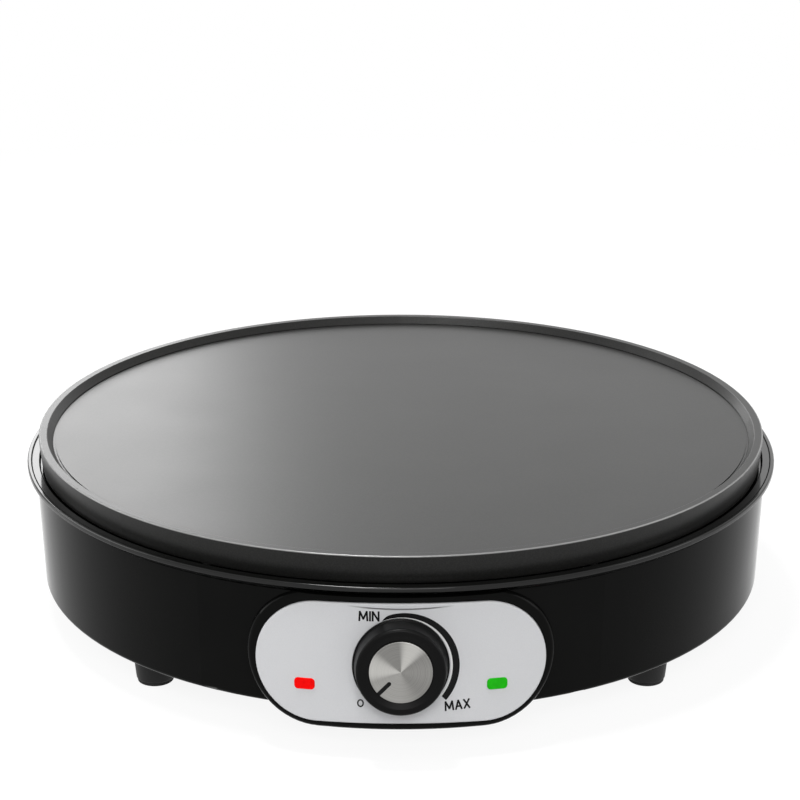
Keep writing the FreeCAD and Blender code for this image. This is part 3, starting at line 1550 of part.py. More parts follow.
def all_pieces():
    """Every node of the object and its solids."""
    pieces = {
        "cooking_plate": [cooking_plate()],
        "heating_element": [heating_element()],
        "element_seals": element_seals(),
        "element_tabs": element_tabs(),
        "element_clamps": element_clamps(),
        "clamp_screws": clamp_screws(),
        "heat_reflector": [heat_reflector()],
        "plate_posts": plate_posts(),
        "plate_screws": plate_screws(),
        "trim_ring": [trim_ring()],
        "ring_screws": ring_screws(),
        "housing": [housing()],
        "bottom_cover": [bottom_cover()],
        "cover_screws": cover_screws(),
        "foot_pads": foot_pads(),
        "foot_screws": foot_screws(),
        "control_panel": [control_panel()],
        "panel_nuts": panel_nuts(),
        "power_lens": [lens(-lens_x)],
        "ready_lens": [lens(lens_x)],
        "lamp_holders": lamp_holders(),
        "neon_lamps": neon_lamps(),
        "knob": [knob()],
        "knob_disc": [knob_disc()],
        "knob_clip": [knob_clip()],
        "thermostat_shaft": [thermostat_shaft()],
        "thermostat_bush": [thermostat_bush()],
        "adjusting_pin": [adjusting_pin()],
        "thermostat_bracket": [thermostat_bracket()],
        "bracket_screws": bracket_screws(),
        "insulator_stack": insulator_stack(),
        "bimetal_strip": [bimetal_strip()],
        "contact_springs": contact_springs(),
        "stack_rivet": [stack_rivet()],
        "cord_gland": [cord_gland()],
        "cord_clamp": [cord_clamp()],
        "cord_clamp_screws": cord_clamp_screws(),
        "terminal_block": [terminal_block()],
        "terminal_sleeves": terminal_sleeves(),
        "grub_screws": grub_screws(),
        "block_screws": block_screws(),
        "thermal_fuse": [thermal_fuse()],
        "fuse_clip": [fuse_clip()],
        "earth_tag": [earth_tag()],
        "plate_tag_screws": plate_tag_screws(),
        "push_on_connectors": push_on_connectors(),
        "live_lead": [live_lead()],
        "element_lead": [element_lead()],
        "neutral_lead": [neutral_lead()],
        "fuse_lead": [fuse_lead()],
        "earth_lead": [earth_lead()],
        "lamp_leads": lamp_leads(),
    }
    for name, (x, y) in foot_places().items():
        pieces[name] = [foot(x, y)]
    return pieces


def main():
    os.makedirs("parts", exist_ok=True)
    pieces = all_pieces()
    shift = centred(pieces)
    for name, solids in pieces.items():
        whole = solids[0] if len(solids) == 1 else Part.makeCompound(solids)
        whole.exportStep("parts/" + name + ".step")
        volume = sum(s.Volume for s in solids)
        print(name, len(solids), "solids", round(volume, 1), "mm3", "valid", whole.isValid())
    print("moved by", shift)
    print("knob axis at", panel_middle + shift)


main()
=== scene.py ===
import bpy
import json
import math
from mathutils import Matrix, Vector


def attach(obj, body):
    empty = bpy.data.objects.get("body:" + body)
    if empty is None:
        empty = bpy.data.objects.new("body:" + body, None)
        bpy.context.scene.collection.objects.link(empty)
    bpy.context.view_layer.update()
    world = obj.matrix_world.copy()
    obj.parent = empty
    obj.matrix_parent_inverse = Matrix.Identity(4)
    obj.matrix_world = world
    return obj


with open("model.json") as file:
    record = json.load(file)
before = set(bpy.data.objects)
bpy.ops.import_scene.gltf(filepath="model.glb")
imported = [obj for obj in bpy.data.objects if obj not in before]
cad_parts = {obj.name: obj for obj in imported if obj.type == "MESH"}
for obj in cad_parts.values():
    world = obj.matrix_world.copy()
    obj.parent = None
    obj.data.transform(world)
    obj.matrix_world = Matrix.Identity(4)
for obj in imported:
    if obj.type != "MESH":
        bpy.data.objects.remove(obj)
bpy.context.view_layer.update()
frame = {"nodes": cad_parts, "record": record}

# The photograph's view, fitted to the plate
CAMERA_PLACE = (-0.00033, -0.99765, 0.4321)
CAMERA_DOWN_DEGREES = 18.9
SENSOR_MM = 36.0
LENS_MM = 110.25

# Light of the studio
LAMPS_AIM = (0, 0, 0.06)
WORLD_AS_LIGHT = 0.3
WORLD_AS_SEEN = 1.0

# Places on the model, in metres
PLATE_AXIS_Y = 0.00735
RIM_TOP_Z = 0.0795
WORN_HIGHLIGHT_EDGE_R = 0.1555        # outside it the rim's edge has its full wear and painted highlight line
KNOB_CENTRE = Vector((0.0, -0.1561496, 0.03865))
PANEL_LEAN = math.radians(7.0)
PANEL_BEND_R = 0.150
PANEL_UP = Vector((0, math.sin(PANEL_LEAN), math.cos(PANEL_LEAN)))
PANEL_OUT = Vector((0, -math.cos(PANEL_LEAN), math.sin(PANEL_LEAN)))
RIGHT = (1, 0, 0)
UP = (0, 0, 1)
DISC_FACE = 0.0101          # front of the knob's disc, measured out from the panel
CREASE_Y = 0.0215           # lowest point of the crease, above the knob's centre
CREASE_BOW_R = 0.1757

# Printing on the panel and the disc, in metres
PRINT_T = 0.00004
POINTER_TURN = math.radians(225)
POINTER_OUTER_X = 0.01185
POINTER_INNER_X = 0.0062
POINTER_HALF_WIDTH = 0.00078

# Darkest and lightest colour of the gloss black plastic
BLACK = ((0.0026, 0.0027, 0.0025), (0.0038, 0.0039, 0.0036))

# Each patch of sheen painted into the disc's colour: its direction and half width in degrees, and its
# strength
PAINTED_SHEEN_WEDGES = ((66, 30, 0.26), (168, 34, 0.2), (245, 70, 0.1))

# Letters in a box 1 high: the width, and the corners that each line of strokes passes
LETTERS = {
    "M": (0.84, [((0, 0), (0.06, 1), (0.42, 0.18), (0.78, 1), (0.84, 0))]),
    "I": (0.0, [((0, 0), (0, 1))]),
    "N": (0.62, [((0, 0), (0, 1), (0.62, 0), (0.62, 1))]),
    "A": (0.64, [((0, 0), (0.32, 1), (0.64, 0)), ((0.12, 0.33), (0.52, 0.33))]),
    "X": (0.58, [((0, 0), (0.58, 1)), ((0, 1), (0.58, 0))]),
}
LETTER_GAP = 0.28
LETTER_HALF_STROKE = 0.1


# Scene

def make_camera():
    data = bpy.data.cameras.new("camera")
    data.sensor_width = SENSOR_MM
    data.lens = LENS_MM
    camera = bpy.data.objects.new("camera", data)
    camera.location = CAMERA_PLACE
    camera.rotation_euler = (math.radians(90 - CAMERA_DOWN_DEGREES), 0, 0)
    bpy.context.scene.collection.objects.link(camera)
    bpy.context.scene.camera = camera


def area_light(name, place, width, height, power):
    """Rectangular lamp at place, facing the object."""
    data = bpy.data.lights.new(name, "AREA")
    data.shape = "RECTANGLE"
    data.size = width
    data.size_y = height
    data.energy = power
    lamp = bpy.data.objects.new(name, data)
    lamp.location = place
    direction = Vector(LAMPS_AIM) - Vector(place)
    lamp.rotation_euler = direction.to_track_quat("-Z", "Y").to_euler()
    bpy.context.scene.collection.objects.link(lamp)


def make_lights():
    area_light("lamp_left", place=(-1.1, 0.2, 0.55), width=0.9, height=0.7, power=5)
    area_light("lamp_right", place=(1.2, -0.2, 0.6), width=0.7, height=0.6, power=3)
    area_light("lamp_top", place=(-0.2, -0.1, 1.4), width=0.26, height=0.26, power=14)
    area_light("lamp_front", place=(0.0, -1.6, 1.1), width=0.9, height=0.5, power=12)
    area_light("lamp_back", place=(0.1, 1.7, 0.8), width=1.8, height=0.8, power=2)
    area_light("lamp_back_left", place=(-0.46, 1.5, 0.66), width=0.55, height=0.75, power=5.4)


def seen_directly(nodes, links):
    """1 for the rays of the camera and those of gloss and glass, else 0."""
    path = nodes.new("ShaderNodeLightPath")
    value = path.outputs["Is Camera Ray"]
    for kind in ("Is Glossy Ray", "Is Transmission Ray"):
        either = nodes.new("ShaderNodeMath")
        either.operation = "MAXIMUM"
        links.new(value, either.inputs[0])
        links.new(path.outputs[kind], either.inputs[1])
        value = either.outputs[0]
    return value


def make_world():
    """White where it is seen, softer as a light."""
    world = bpy.data.worlds.new("world")
    bpy.context.scene.world = world
    world.use_nodes = True
    nodes = world.node_tree.nodes
    links = world.node_tree.links
    nodes.clear()
    mix = nodes.new("ShaderNodeMixShader")
    links.new(seen_directly(nodes, links), mix.inputs["Fac"])
    for index, strength in ((1, WORLD_AS_LIGHT), (2, WORLD_AS_SEEN)):
        background = nodes.new("ShaderNodeBackground")
        background.inputs["Color"].default_value = (1, 1, 1, 1)
        background.inputs["Strength"].default_value = strength
        links.new(background.outputs[0], mix.inputs[index])
    out = nodes.new("ShaderNodeOutputWorld")
    links.new(mix.outputs[0], out.inputs["Surface"])


def make_floor():
    """Pale floor: white where it is seen, with the object's shadow faint on it."""
    half = 6.0
    near_radius = 0.3
    far_radius = 0.9
    near_colour = (0.14, 0.14, 0.14)
    far_colour = (0.0, 0.0, 0.0)
    bounced_colour = (0.5, 0.5, 0.5)
    near_glow = 0.9
    far_glow = 1.0
    corners = [(-half, -half, 0), (half, -half, 0), (half, half, 0), (-half, half, 0)]
    mesh = bpy.data.meshes.new("floor")
    mesh.from_pydata(corners, [], [(0, 1, 2, 3)])
    floor = bpy.data.objects.new("floor", mesh)
    bpy.context.scene.collection.objects.link(floor)
    paper = Shader("floor_paper")
    paper.set("Roughness", 0.9)
    paper.set("Specular IOR Level", 0.0)
    seen = seen_directly(paper.nodes, paper.links)
    from_axis = paper.radius((0, PLATE_AXIS_Y, 0), UP)
    away = paper.spread(from_axis, 0, 1, start=near_radius, end=far_radius)
    shade = paper.blend(away, near_colour, far_colour)
    paper.link(paper.blend(seen, bounced_colour, shade), paper.bsdf.inputs["Base Color"])
    glow = paper.spread(away, near_glow, far_glow, start=0, end=1)
    paper.set("Emission Color", (1, 1, 1, 1))
    paper.link(paper.math("MULTIPLY", seen, glow), paper.bsdf.inputs["Emission Strength"])
    mesh.materials.append(paper.material)


# Material building

class Shader:
    """A node material with a Principled shader and short ways to add to it."""

    # Places of the colour sockets on Blender's Mix node
    FIRST_COLOUR = 6
    SECOND_COLOUR = 7
    MIXED_COLOUR = 2

    def __init__(self, name):
        self.material = bpy.data.materials.new(name)
        self.material.use_nodes = True
        self.nodes = self.material.node_tree.nodes
        self.links = self.material.node_tree.links
        self.nodes.clear()
        out = self.nodes.new("ShaderNodeOutputMaterial")
        self.bsdf = self.nodes.new("ShaderNodeBsdfPrincipled")
        self.link(self.bsdf.outputs[0], out.inputs["Surface"])
        self.coordinates = self.nodes.new("ShaderNodeTexCoord").outputs["Object"]

    def set(self, socket, value):
        self.bsdf.inputs[socket].default_value = value

    def link(self, output, target):
        self.links.new(output, target)

    def node(self, kind, **settings):
        made = self.nodes.new(kind)
        for key, value in settings.items():
            setattr(made, key, value)
        return made

    def math(self, operation, first, second=None):
        """Result of a calculation with one or two values, each a number or a socket."""
        made = self.node("ShaderNodeMath", operation=operation)
        for value, target in zip((first, second), made.inputs):
            if value is None:
                continue
            if isinstance(value, (int, float)):
                target.default_value = value
            else:
                self.link(value, target)
        return made.outputs[0]

    def noise(self, scale, detail=3.0, roughness=0.5, stretch=None):
        """Noise over the object's own coordinates; scale is in spots per metre."""
        made = self.node("ShaderNodeTexNoise")
        made.inputs["Scale"].default_value = scale
        made.inputs["Detail"].default_value = detail
        made.inputs["Roughness"].default_value = roughness
        source = self.coordinates
        if stretch:
            mapping = self.node("ShaderNodeMapping")
            mapping.inputs["Scale"].default_value = stretch
            self.link(source, mapping.inputs["Vector"])
            source = mapping.outputs[0]
        self.link(source, made.inputs["Vector"])
        return made.outputs["Fac"]

    def spread(self, value, low, high, start=0.3, end=0.7):
        """Value mapped from start..end to low..high."""
        made = self.node("ShaderNodeMapRange")
        made.inputs["From Min"].default_value = start
        made.inputs["From Max"].default_value = end
        made.inputs["To Min"].default_value = low
        made.inputs["To Max"].default_value = high
        self.link(value, made.inputs["Value"])
        return made.outputs[0]

    def blend(self, value, first, second):
        """Colour between two by a value from 0 to 1."""
        made = self.node("ShaderNodeMix", data_type="RGBA")
        self.link(value, made.inputs["Factor"])
        for index, colour in ((self.FIRST_COLOUR, first), (self.SECOND_COLOUR, second)):
            if isinstance(colour, tuple):
                made.inputs[index].default_value = (*colour, 1)
            else:
                self.link(colour, made.inputs[index])
        return made.outputs[self.MIXED_COLOUR]

    def colour(self, value, first, second):
        self.link(self.blend(value, first, second), self.bsdf.inputs["Base Color"])

    def roughness(self, value, low, high):
        self.link(self.spread(value, low, high), self.bsdf.inputs["Roughness"])

    def bump(self, value, depth):
        """Relief of that depth, in metres."""
        made = self.node("ShaderNodeBump")
        made.inputs["Strength"].default_value = 1.0
        made.inputs["Distance"].default_value = depth
        self.link(value, made.inputs["Height"])
        self.link(made.outputs[0], self.bsdf.inputs["Normal"])

    def from_point(self, centre):
        """Vector from a point on the model to the place that is shaded."""
        made = self.node("ShaderNodeVectorMath", operation="SUBTRACT")
        self.link(self.coordinates, made.inputs[0])
        made.inputs[1].default_value = centre
        return made.outputs[0]

    def along(self, vector, direction):
        """Length of a vector along a fixed direction."""
        made = self.node("ShaderNodeVectorMath", operation="DOT_PRODUCT")
        self.link(vector, made.inputs[0])
        made.inputs[1].default_value = direction
        return made.outputs["Value"]

    def radius(self, centre, axis):
        """Distance in metres from the axis through centre."""
        made = self.node("ShaderNodeVectorMath", operation="CROSS_PRODUCT")
        self.link(self.from_point(centre), made.inputs[0])
        made.inputs[1].default_value = axis
        length = self.node("ShaderNodeVectorMath", operation="LENGTH")
        self.link(made.outputs[0], length.inputs[0])
        return length.outputs["Value"]


def plastic(name, dark, light, rough, specular=0.5, grain=0.0, grain_scale=2500.0):
    """Moulded plastic: slight colour drift, uneven gloss and a fine grain."""
    patches_per_metre = 30.0
    shader = Shader(name)
    drift = shader.noise(patches_per_metre, detail=4)
    shader.colour(shader.spread(drift, 0, 1), dark, light)
    shader.roughness(shader.noise(patches_per_metre * 3, detail=5, roughness=0.6), *rough)
    shader.set("Specular IOR Level", specular)
    if grain:
        shader.bump(shader.noise(grain_scale, detail=2), depth=grain)
    return shader


def metal(name, dark, light, rough):
    """Rolled or drawn metal with a grain along one direction."""
    streaks_per_metre = 900.0
    streak_shape = (1, 1, 12)
    streak_depth = 0.00001
    shader = Shader(name)
    shader.set("Metallic", 1.0)
    streaks = shader.noise(streaks_per_metre, detail=4, roughness=0.6, stretch=streak_shape)
    shader.colour(shader.spread(streaks, 0, 1), dark, light)
    shader.roughness(shader.noise(60, detail=4), *rough)
    shader.bump(streaks, depth=streak_depth)
    return shader


# The object's own materials

def plate_coating():
    """Grey non-stick coating with a fine speckle, lighter along the rim's outer edge, as wear and as a
    painted highlight line.
    """
    dark = (0.009, 0.009, 0.0085)
    light = (0.015, 0.015, 0.0142)
    bare_highlight_colour = (0.24, 0.24, 0.238)
    shader = Shader("plate_coating_look")
    speckle = shader.spread(shader.noise(1600, detail=2, roughness=0.6), 0, 1, start=0.42, end=0.62)
    base = shader.blend(speckle, dark, light)
    radius = shader.radius((0, PLATE_AXIS_Y, 0), UP)
    height = shader.along(shader.coordinates, UP)
    # Wear and painted highlight: a thin, lighter, partly metallic line on the rim's outer edge
    outermost = shader.spread(radius, 0, 1, start=WORN_HIGHLIGHT_EDGE_R - 0.0003, end=WORN_HIGHLIGHT_EDGE_R)
    topmost = shader.spread(height, 0, 1, start=RIM_TOP_Z - 0.0006, end=RIM_TOP_Z - 0.0003)
    worn_highlight = shader.math("MULTIPLY", outermost, topmost)
    shader.colour(worn_highlight, base, bare_highlight_colour)
    shader.link(shader.math("MULTIPLY", worn_highlight, 0.25), shader.bsdf.inputs["Metallic"])
    shader.roughness(shader.noise(25, detail=4), low=0.3, high=0.32)
    shader.set("Specular IOR Level", 0.2)
    shader.bump(shader.noise(2200, detail=2), depth=0.000006)
    return shader


def painted_sheen_wedge(shader, angle, middle, half_width, bright):
    """Painted sheen on a turned disc: lighter colour that fades to both sides of one direction, given in
    degrees.
    """
    away = shader.math("SUBTRACT", angle, math.radians(middle))
    cosine = shader.math("COSINE", away)
    made = shader.node("ShaderNodeMapRange", interpolation_type="SMOOTHSTEP")
    made.inputs["From Min"].default_value = math.cos(math.radians(half_width))
    made.inputs["From Max"].default_value = 1.0
    made.inputs["To Max"].default_value = bright
    shader.link(cosine, made.inputs["Value"])
    return made.outputs[0]


def spun_aluminium():
    """Disc turned in fine circles, with wedges of sheen painted into its colour."""
    shader = Shader("spun_aluminium_look")
    rings = shader.node("ShaderNodeTexNoise", noise_dimensions="1D")
    rings.inputs["Scale"].default_value = 3600
    rings.inputs["Detail"].default_value = 3
    shader.link(shader.radius(KNOB_CENTRE, PANEL_OUT), rings.inputs["W"])
    place = shader.from_point(KNOB_CENTRE)
    angle = shader.math("ARCTAN2", shader.along(place, PANEL_UP), shader.along(place, RIGHT))
    sheen = shader.spread(rings.outputs["Fac"], low=0.18, high=0.25)
    # Painted highlights: lighter colour added in patches round the disc, fixed to the disc
    for middle, half_width, bright in PAINTED_SHEEN_WEDGES:
        sheen = shader.math("ADD", sheen, painted_sheen_wedge(shader, angle, middle, half_width, bright))
    shader.colour(sheen, (0, 0, 0), (1, 0.985, 0.94))
    shader.set("Metallic", 1.0)
    shader.set("Anisotropic", 0.6)
    shader.roughness(rings.outputs["Fac"], low=0.32, high=0.4)
    tangent = shader.node("ShaderNodeTangent", direction_type="RADIAL", axis="Y")
    shader.link(tangent.outputs[0], shader.bsdf.inputs["Tangent"])
    shader.bump(rings.outputs["Fac"], depth=0.000004)
    return shader


def silver_face():
    """Satin silver paint with a fine flake, and painted shade down in the crease below the upper edge.
    """
    dark = (0.65, 0.655, 0.67)
    light = (0.71, 0.715, 0.73)
    painted_crease_shade = (0.1, 0.1, 0.1)
    shader = Shader("silver_face_look")
    flake = shader.noise(5000, detail=2)
    paint = shader.blend(shader.spread(flake, 0, 1), dark, light)
    # Painted shade: a dark line along the crease that fades out to both sides
    bow = shader.radius(KNOB_CENTRE + (CREASE_Y + CREASE_BOW_R) * PANEL_UP, PANEL_OUT)
    off_line = shader.math("ABSOLUTE", shader.math("SUBTRACT", bow, CREASE_BOW_R))
    line = shader.spread(off_line, 1, 0, start=0.00012, end=0.0004)
    aside = shader.math("ABSOLUTE", shader.along(shader.from_point(KNOB_CENTRE), RIGHT))
    fade = shader.spread(aside, 1, 0, start=0.012, end=0.0205)
    shader.colour(shader.math("MULTIPLY", line, fade), paint, painted_crease_shade)
    shader.set("Specular IOR Level", 0.5)
    shader.roughness(shader.noise(40), low=0.32, high=0.4)
    shader.bump(flake, depth=0.000004)
    return shader


def lens_plastic(name, colour):
    """Coloured lens plastic, slightly cloudy, with a little glow of its own."""
    shader = Shader(name)
    cloud = shader.noise(400, detail=2)
    dim = tuple(0.75 * c for c in colour)
    shader.colour(shader.spread(cloud, 0, 1), dim, colour)
    shader.roughness(cloud, low=0.15, high=0.22)
    shader.set("Specular IOR Level", 0.06)
    shader.set("Emission Color", (*colour, 1))
    shader.set("Emission Strength", 0.3)
    return shader


def lamp_glass():
    """Clear glass of the small lamps."""
    shader = Shader("lamp_glass_look")
    cloud = shader.noise(300, detail=2)
    shader.colour(shader.spread(cloud, 0, 1), (0.95, 0.9, 0.86), (1.0, 0.97, 0.95))
    shader.roughness(cloud, low=0.02, high=0.06)
    shader.set("Transmission Weight", 0.9)
    return shader


def earth_wire():
    """Green sleeve with yellow stripes along it."""
    shader = Shader("earth_wire_look")
    stripes = shader.node("ShaderNodeTexWave", bands_direction="X")
    stripes.inputs["Scale"].default_value = 130
    stripes.inputs["Distortion"].default_value = 1.0
    shader.link(shader.coordinates, stripes.inputs["Vector"])
    bands = shader.spread(stripes.outputs["Fac"], 0, 1, start=0.45, end=0.55)
    shader.colour(bands, (0.02, 0.2, 0.03), (0.65, 0.6, 0.04))
    shader.roughness(shader.noise(90), low=0.4, high=0.5)
    return shader


def black_looks():
    """Black plastics and rubbers."""
    return {
        "black_gloss": plastic(
            "black_gloss_look", *BLACK,
            rough=(0.07, 0.11), specular=0.05, grain=0.000001, grain_scale=300),
        "black_matte": plastic(
            "black_matte_look", dark=(0.008, 0.008, 0.008), light=(0.014, 0.014, 0.014),
            rough=(0.45, 0.6), specular=0.25, grain=0.00003, grain_scale=1500),
        "knob_black": plastic(
            "knob_black_look", dark=(0.002, 0.002, 0.002), light=(0.0035, 0.0035, 0.0035),
            rough=(0.34, 0.38), specular=0.09, grain=0.000002, grain_scale=2500),
        "pad_rubber": plastic(
            "pad_rubber_look", dark=(0.012, 0.012, 0.012), light=(0.02, 0.02, 0.02),
            rough=(0.7, 0.85), specular=0.3, grain=0.00004, grain_scale=1200),
        "gland_rubber": plastic(
            "gland_rubber_look", dark=(0.01, 0.01, 0.01), light=(0.018, 0.018, 0.018),
            rough=(0.6, 0.75), specular=0.35, grain=0.00003, grain_scale=1500),
    }


def metal_looks():
    """Metals of the inner pieces and the screws."""
    return {
        "screw_steel": metal(
            "screw_steel_look", dark=(0.42, 0.42, 0.41), light=(0.6, 0.6, 0.58), rough=(0.28, 0.4)),
        "sheet_steel": metal(
            "sheet_steel_look", dark=(0.5, 0.5, 0.5), light=(0.62, 0.62, 0.61), rough=(0.25, 0.4)),
        "element_sheath": metal(
            "element_sheath_look", dark=(0.12, 0.1, 0.09), light=(0.22, 0.2, 0.19), rough=(0.45, 0.6)),
        "brass": metal(
            "brass_look", dark=(0.6, 0.42, 0.18), light=(0.75, 0.55, 0.25), rough=(0.25, 0.4)),
        "spring_bronze": metal(
            "spring_bronze_look", dark=(0.5, 0.28, 0.14), light=(0.62, 0.38, 0.2), rough=(0.3, 0.4)),
        "bimetal": metal(
            "bimetal_look", dark=(0.3, 0.26, 0.22), light=(0.42, 0.38, 0.33), rough=(0.35, 0.5)),
    }


def pale_looks():
    """Ceramic, pale plastic and sleeves."""
    return {
        "ceramic_white": plastic(
            "ceramic_look", dark=(0.74, 0.71, 0.64), light=(0.82, 0.8, 0.75),
            rough=(0.55, 0.75), specular=0.4, grain=0.00004, grain_scale=900),
        "holder_white": plastic(
            "holder_white_look", dark=(0.68, 0.67, 0.62), light=(0.74, 0.73, 0.69),
            rough=(0.4, 0.5), specular=0.5, grain=0.00001, grain_scale=1200),
        "sleeve_white": plastic(
            "sleeve_white_look", dark=(0.7, 0.68, 0.62), light=(0.78, 0.76, 0.7),
            rough=(0.5, 0.65), specular=0.4, grain=0.00003, grain_scale=1800),
    }


def wire_looks():
    """Wires by the colour of their sleeve."""
    return {
        "wire_brown": plastic(
            "wire_brown_look", dark=(0.12, 0.045, 0.02), light=(0.16, 0.06, 0.03), rough=(0.4, 0.5)),
        "wire_blue": plastic(
            "wire_blue_look", dark=(0.02, 0.07, 0.35), light=(0.03, 0.1, 0.45), rough=(0.4, 0.5)),
        "wire_green": earth_wire(),
        "wire_white": plastic(
            "wire_white_look", dark=(0.66, 0.64, 0.58), light=(0.74, 0.72, 0.66),
            rough=(0.6, 0.75), specular=0.4, grain=0.00005, grain_scale=2500),
    }


def make_materials():
    """Material for each slot of the record."""
    looks = {
        "plate_coating": plate_coating(),
        "spun_aluminium": spun_aluminium(),
        "silver_face": silver_face(),
        "red_lens": lens_plastic("red_lens_look", (0.85, 0.001, 0.0005)),
        "green_lens": lens_plastic("green_lens_look", (0.012, 0.4, 0.006)),
        "lamp_glass": lamp_glass(),
        **black_looks(),
        **metal_looks(),
        **pale_looks(),
        **wire_looks(),
    }
    return {slot: shader.material for slot, shader in looks.items()}


def dress_nodes(materials):
    """Gives every CAD node the material of its slot, and the trim ring a higher gloss."""
    for entry in frame["record"]["subparts"]:
        node = frame["nodes"][entry["node"]]
        node.data.materials.clear()
        node.data.materials.append(materials[entry["material_slot"]])
    ring = plastic(
        "trim_ring_look", *BLACK,
        rough=(0.08, 0.12), specular=0.28, grain=0.000001, grain_scale=300)
    frame["nodes"]["trim_ring"].data.materials[0] = ring.material


# Printed marks

def on_face(x, y, height):
    """Point at (x, y) on the curved face of the control panel, height above it."""
    depth = math.sqrt((PANEL_BEND_R + height) ** 2 - x * x) - PANEL_BEND_R
    across = y * math.sin(PANEL_LEAN) - depth * math.cos(PANEL_LEAN)
    up = y * math.cos(PANEL_LEAN) + depth * math.sin(PANEL_LEAN)
    return KNOB_CENTRE + Vector((x, across, up))


def on_disc(x, y, height):
    """Point at (x, y) on the flat face of the knob's disc, height above it."""
    return KNOB_CENTRE + Vector((x, 0, 0)) + y * PANEL_UP + (DISC_FACE + height) * PANEL_OUT


def printed(name, points, faces, ink, place=on_face, body="appliance"):
    """Thin print on the panel or the disc, from a flat net of points (x, y) and its faces."""
    count = len(points)
    bottom = [place(x, y, 0.0) for x, y in points]
    top = [place(x, y, PRINT_T) for x, y in points]
    edges = set()
    for face in faces:
        edges.update(zip(face, face[1:] + face[:1]))
    rim = [(a, b) for a, b in edges if (b, a) not in edges]
    closed = [tuple(reversed(face)) for face in faces]
    closed += [tuple(i + count for i in face) for face in faces]
    closed += [(a, b, b + count, a + count) for a, b in sorted(rim)]
    mesh = bpy.data.meshes.new(name)
    mesh.from_pydata(bottom + top, [], closed)
    mesh.materials.append(ink)
    piece = bpy.data.objects.new(name, mesh)
    bpy.context.scene.collection.objects.link(piece)
    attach(piece, body)


def on_circle(middle, radius, degrees):
    """Point on a circle drawn on the panel."""
    turn = math.radians(degrees)
    return middle[0] + radius * math.cos(turn), middle[1] + radius * math.sin(turn)


def arc_band(name, outer, inner, nose_depth, ink):
    """Band between two circles, each with its middle, radius, start and end in degrees.

    The band begins in a nose, where the outer circle draws in by nose_depth.
    """
    steps = 90
    nose_share = 0.1
    points = []
    for i in range(steps + 1):
        share = i / steps
        nose = max(0.0, 1 - share / nose_share) ** 3
        for middle, radius, start, end, shrink in ((*outer, nose_depth), (*inner, 0.0)):
            points.append(on_circle(middle, radius - shrink * nose, start + (end - start) * share))
    faces = [[2 * i, 2 * i + 1, 2 * i + 3, 2 * i + 2] for i in range(steps)]
    printed(name, points, faces, ink)


def dial_arc(ink, white):
    """Bar that leaves the knob at the low mark and widens round to the high mark, edged in white.

    Each circle is given as arc_band takes it: middle, radius, start and end.
    """
    outer = ((0.00138, -0.00073), 0.02085, 116.2, -41.2)
    edge = ((0.00040, -0.00080), 0.01920, 112.8, -38.7)
    inner = ((0.00040, -0.00100), 0.01862, 112.8, -38.7)
    arc_band("dial_arc", outer, edge, nose_depth=0.00153, ink=ink)
    arc_band("dial_edge", edge, inner, nose_depth=0.0005, ink=white)


def stroke(ends, half):
    """Four corners of a straight stroke, a little longer than its ends."""
    (x0, y0), (x1, y1) = ends
    length = math.hypot(x1 - x0, y1 - y0)
    along = ((x1 - x0) / length * half, (y1 - y0) / length * half)
    side = (-along[1], along[0])
    start = (x0 - along[0] / 2, y0 - along[1] / 2)
    end = (x1 + along[0] / 2, y1 + along[1] / 2)
    return [
        (start[0] - side[0], start[1] - side[1]),
        (end[0] - side[0], end[1] - side[1]),
        (end[0] + side[0], end[1] + side[1]),
        (start[0] + side[0], start[1] + side[1]),
    ]


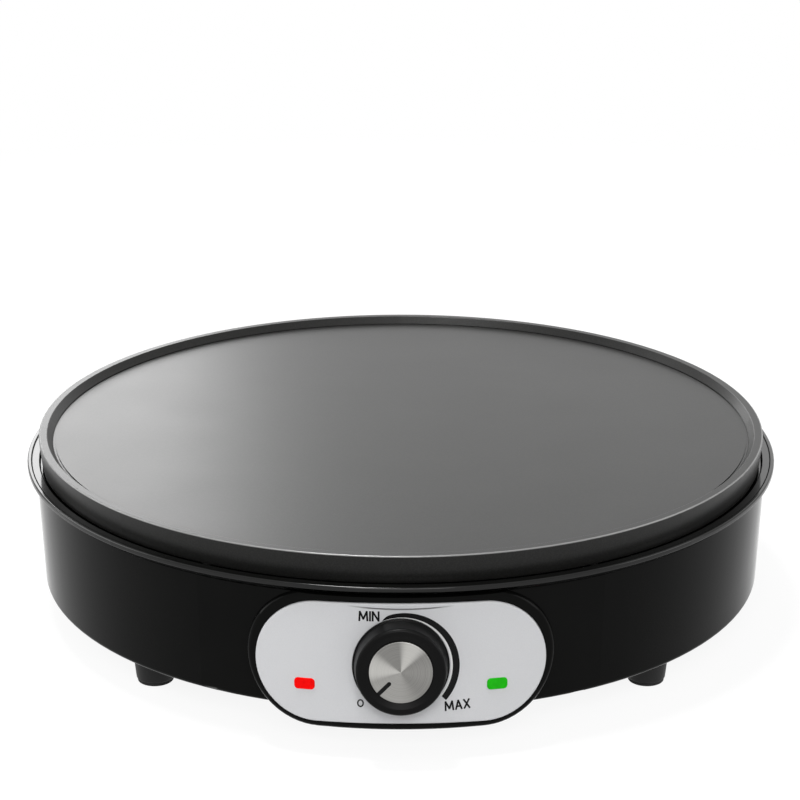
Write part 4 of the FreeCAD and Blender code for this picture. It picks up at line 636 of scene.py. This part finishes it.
def lettering(name, word, middle, height, turn, ink):
    """Word in plain capitals, centred at a place on the panel."""
    width = sum(LETTERS[letter][0] for letter in word) + LETTER_GAP * (len(word) - 1)
    cos = math.cos(turn) * height
    sin = math.sin(turn) * height
    start = -width / 2
    points = []
    for letter in word:
        letter_width, lines = LETTERS[letter]
        strokes = [ends for line in lines for ends in zip(line, line[1:])]
        for ends in strokes:
            for x, y in stroke(ends, LETTER_HALF_STROKE):
                across = x + start
                up = y - 0.5
                points.append((middle[0] + across * cos - up * sin, middle[1] + across * sin + up * cos))
        start += letter_width + LETTER_GAP
    faces = [[i, i + 1, i + 2, i + 3] for i in range(0, len(points), 4)]
    printed(name, points, faces, ink)


def nought(name, middle, half_width, half_height, line, ink):
    """Plain oval nought."""
    steps = 40
    points = []
    for i in range(steps):
        turn = 2 * math.pi * i / steps
        for inset in (0, line):
            points.append((middle[0] + (half_width - inset) * math.cos(turn),
                           middle[1] + (half_height - inset) * math.sin(turn)))
    faces = []
    for i in range(steps):
        j = (i + 1) % steps
        faces.append([2 * i, 2 * j, 2 * j + 1, 2 * i + 1])
    printed(name, points, faces, ink)


def pointer_paint(ink):
    """Black paint over the pointer, a bar with a round inner end."""
    half = POINTER_HALF_WIDTH
    inner_end = (POINTER_INNER_X, 0)
    points = [(POINTER_OUTER_X, half), (POINTER_INNER_X, half)]
    points += [on_circle(inner_end, half, 90 + 15 * i) for i in range(1, 12)]
    points += [(POINTER_INNER_X, -half), (POINTER_OUTER_X, -half)]
    cos = math.cos(POINTER_TURN)
    sin = math.sin(POINTER_TURN)
    turned = [(x * cos - y * sin, x * sin + y * cos) for x, y in points]
    outline = list(range(len(turned)))
    printed("pointer_paint", turned, [outline], ink, on_disc, "dial")


def make_prints():
    """Dial marks: off, low, high and the bar between them."""
    ink = plastic(
        "dial_ink_look", dark=(0.002, 0.002, 0.002), light=(0.005, 0.005, 0.005),
        rough=(0.35, 0.5), specular=0.12).material
    white = plastic(
        "dial_white_look", dark=(0.82, 0.82, 0.81), light=(0.88, 0.88, 0.87),
        rough=(0.35, 0.5), specular=0.4).material
    dial_arc(ink, white)
    pointer_paint(ink)
    lettering("mark_min", "MIN", middle=(-0.0120, 0.01875), height=0.0036, turn=0.0, ink=ink)
    lettering("mark_max", "MAX", middle=(0.0214, -0.0165), height=0.0035, turn=math.radians(5), ink=ink)
    nought("mark_off", (-0.0153, -0.0156), half_width=0.0013, half_height=0.0016, line=0.00055, ink=ink)


def main():
    make_camera()
    make_lights()
    make_world()
    make_floor()
    dress_nodes(make_materials())
    make_prints()
    bpy.context.scene.view_settings.view_transform = "Standard"


main()
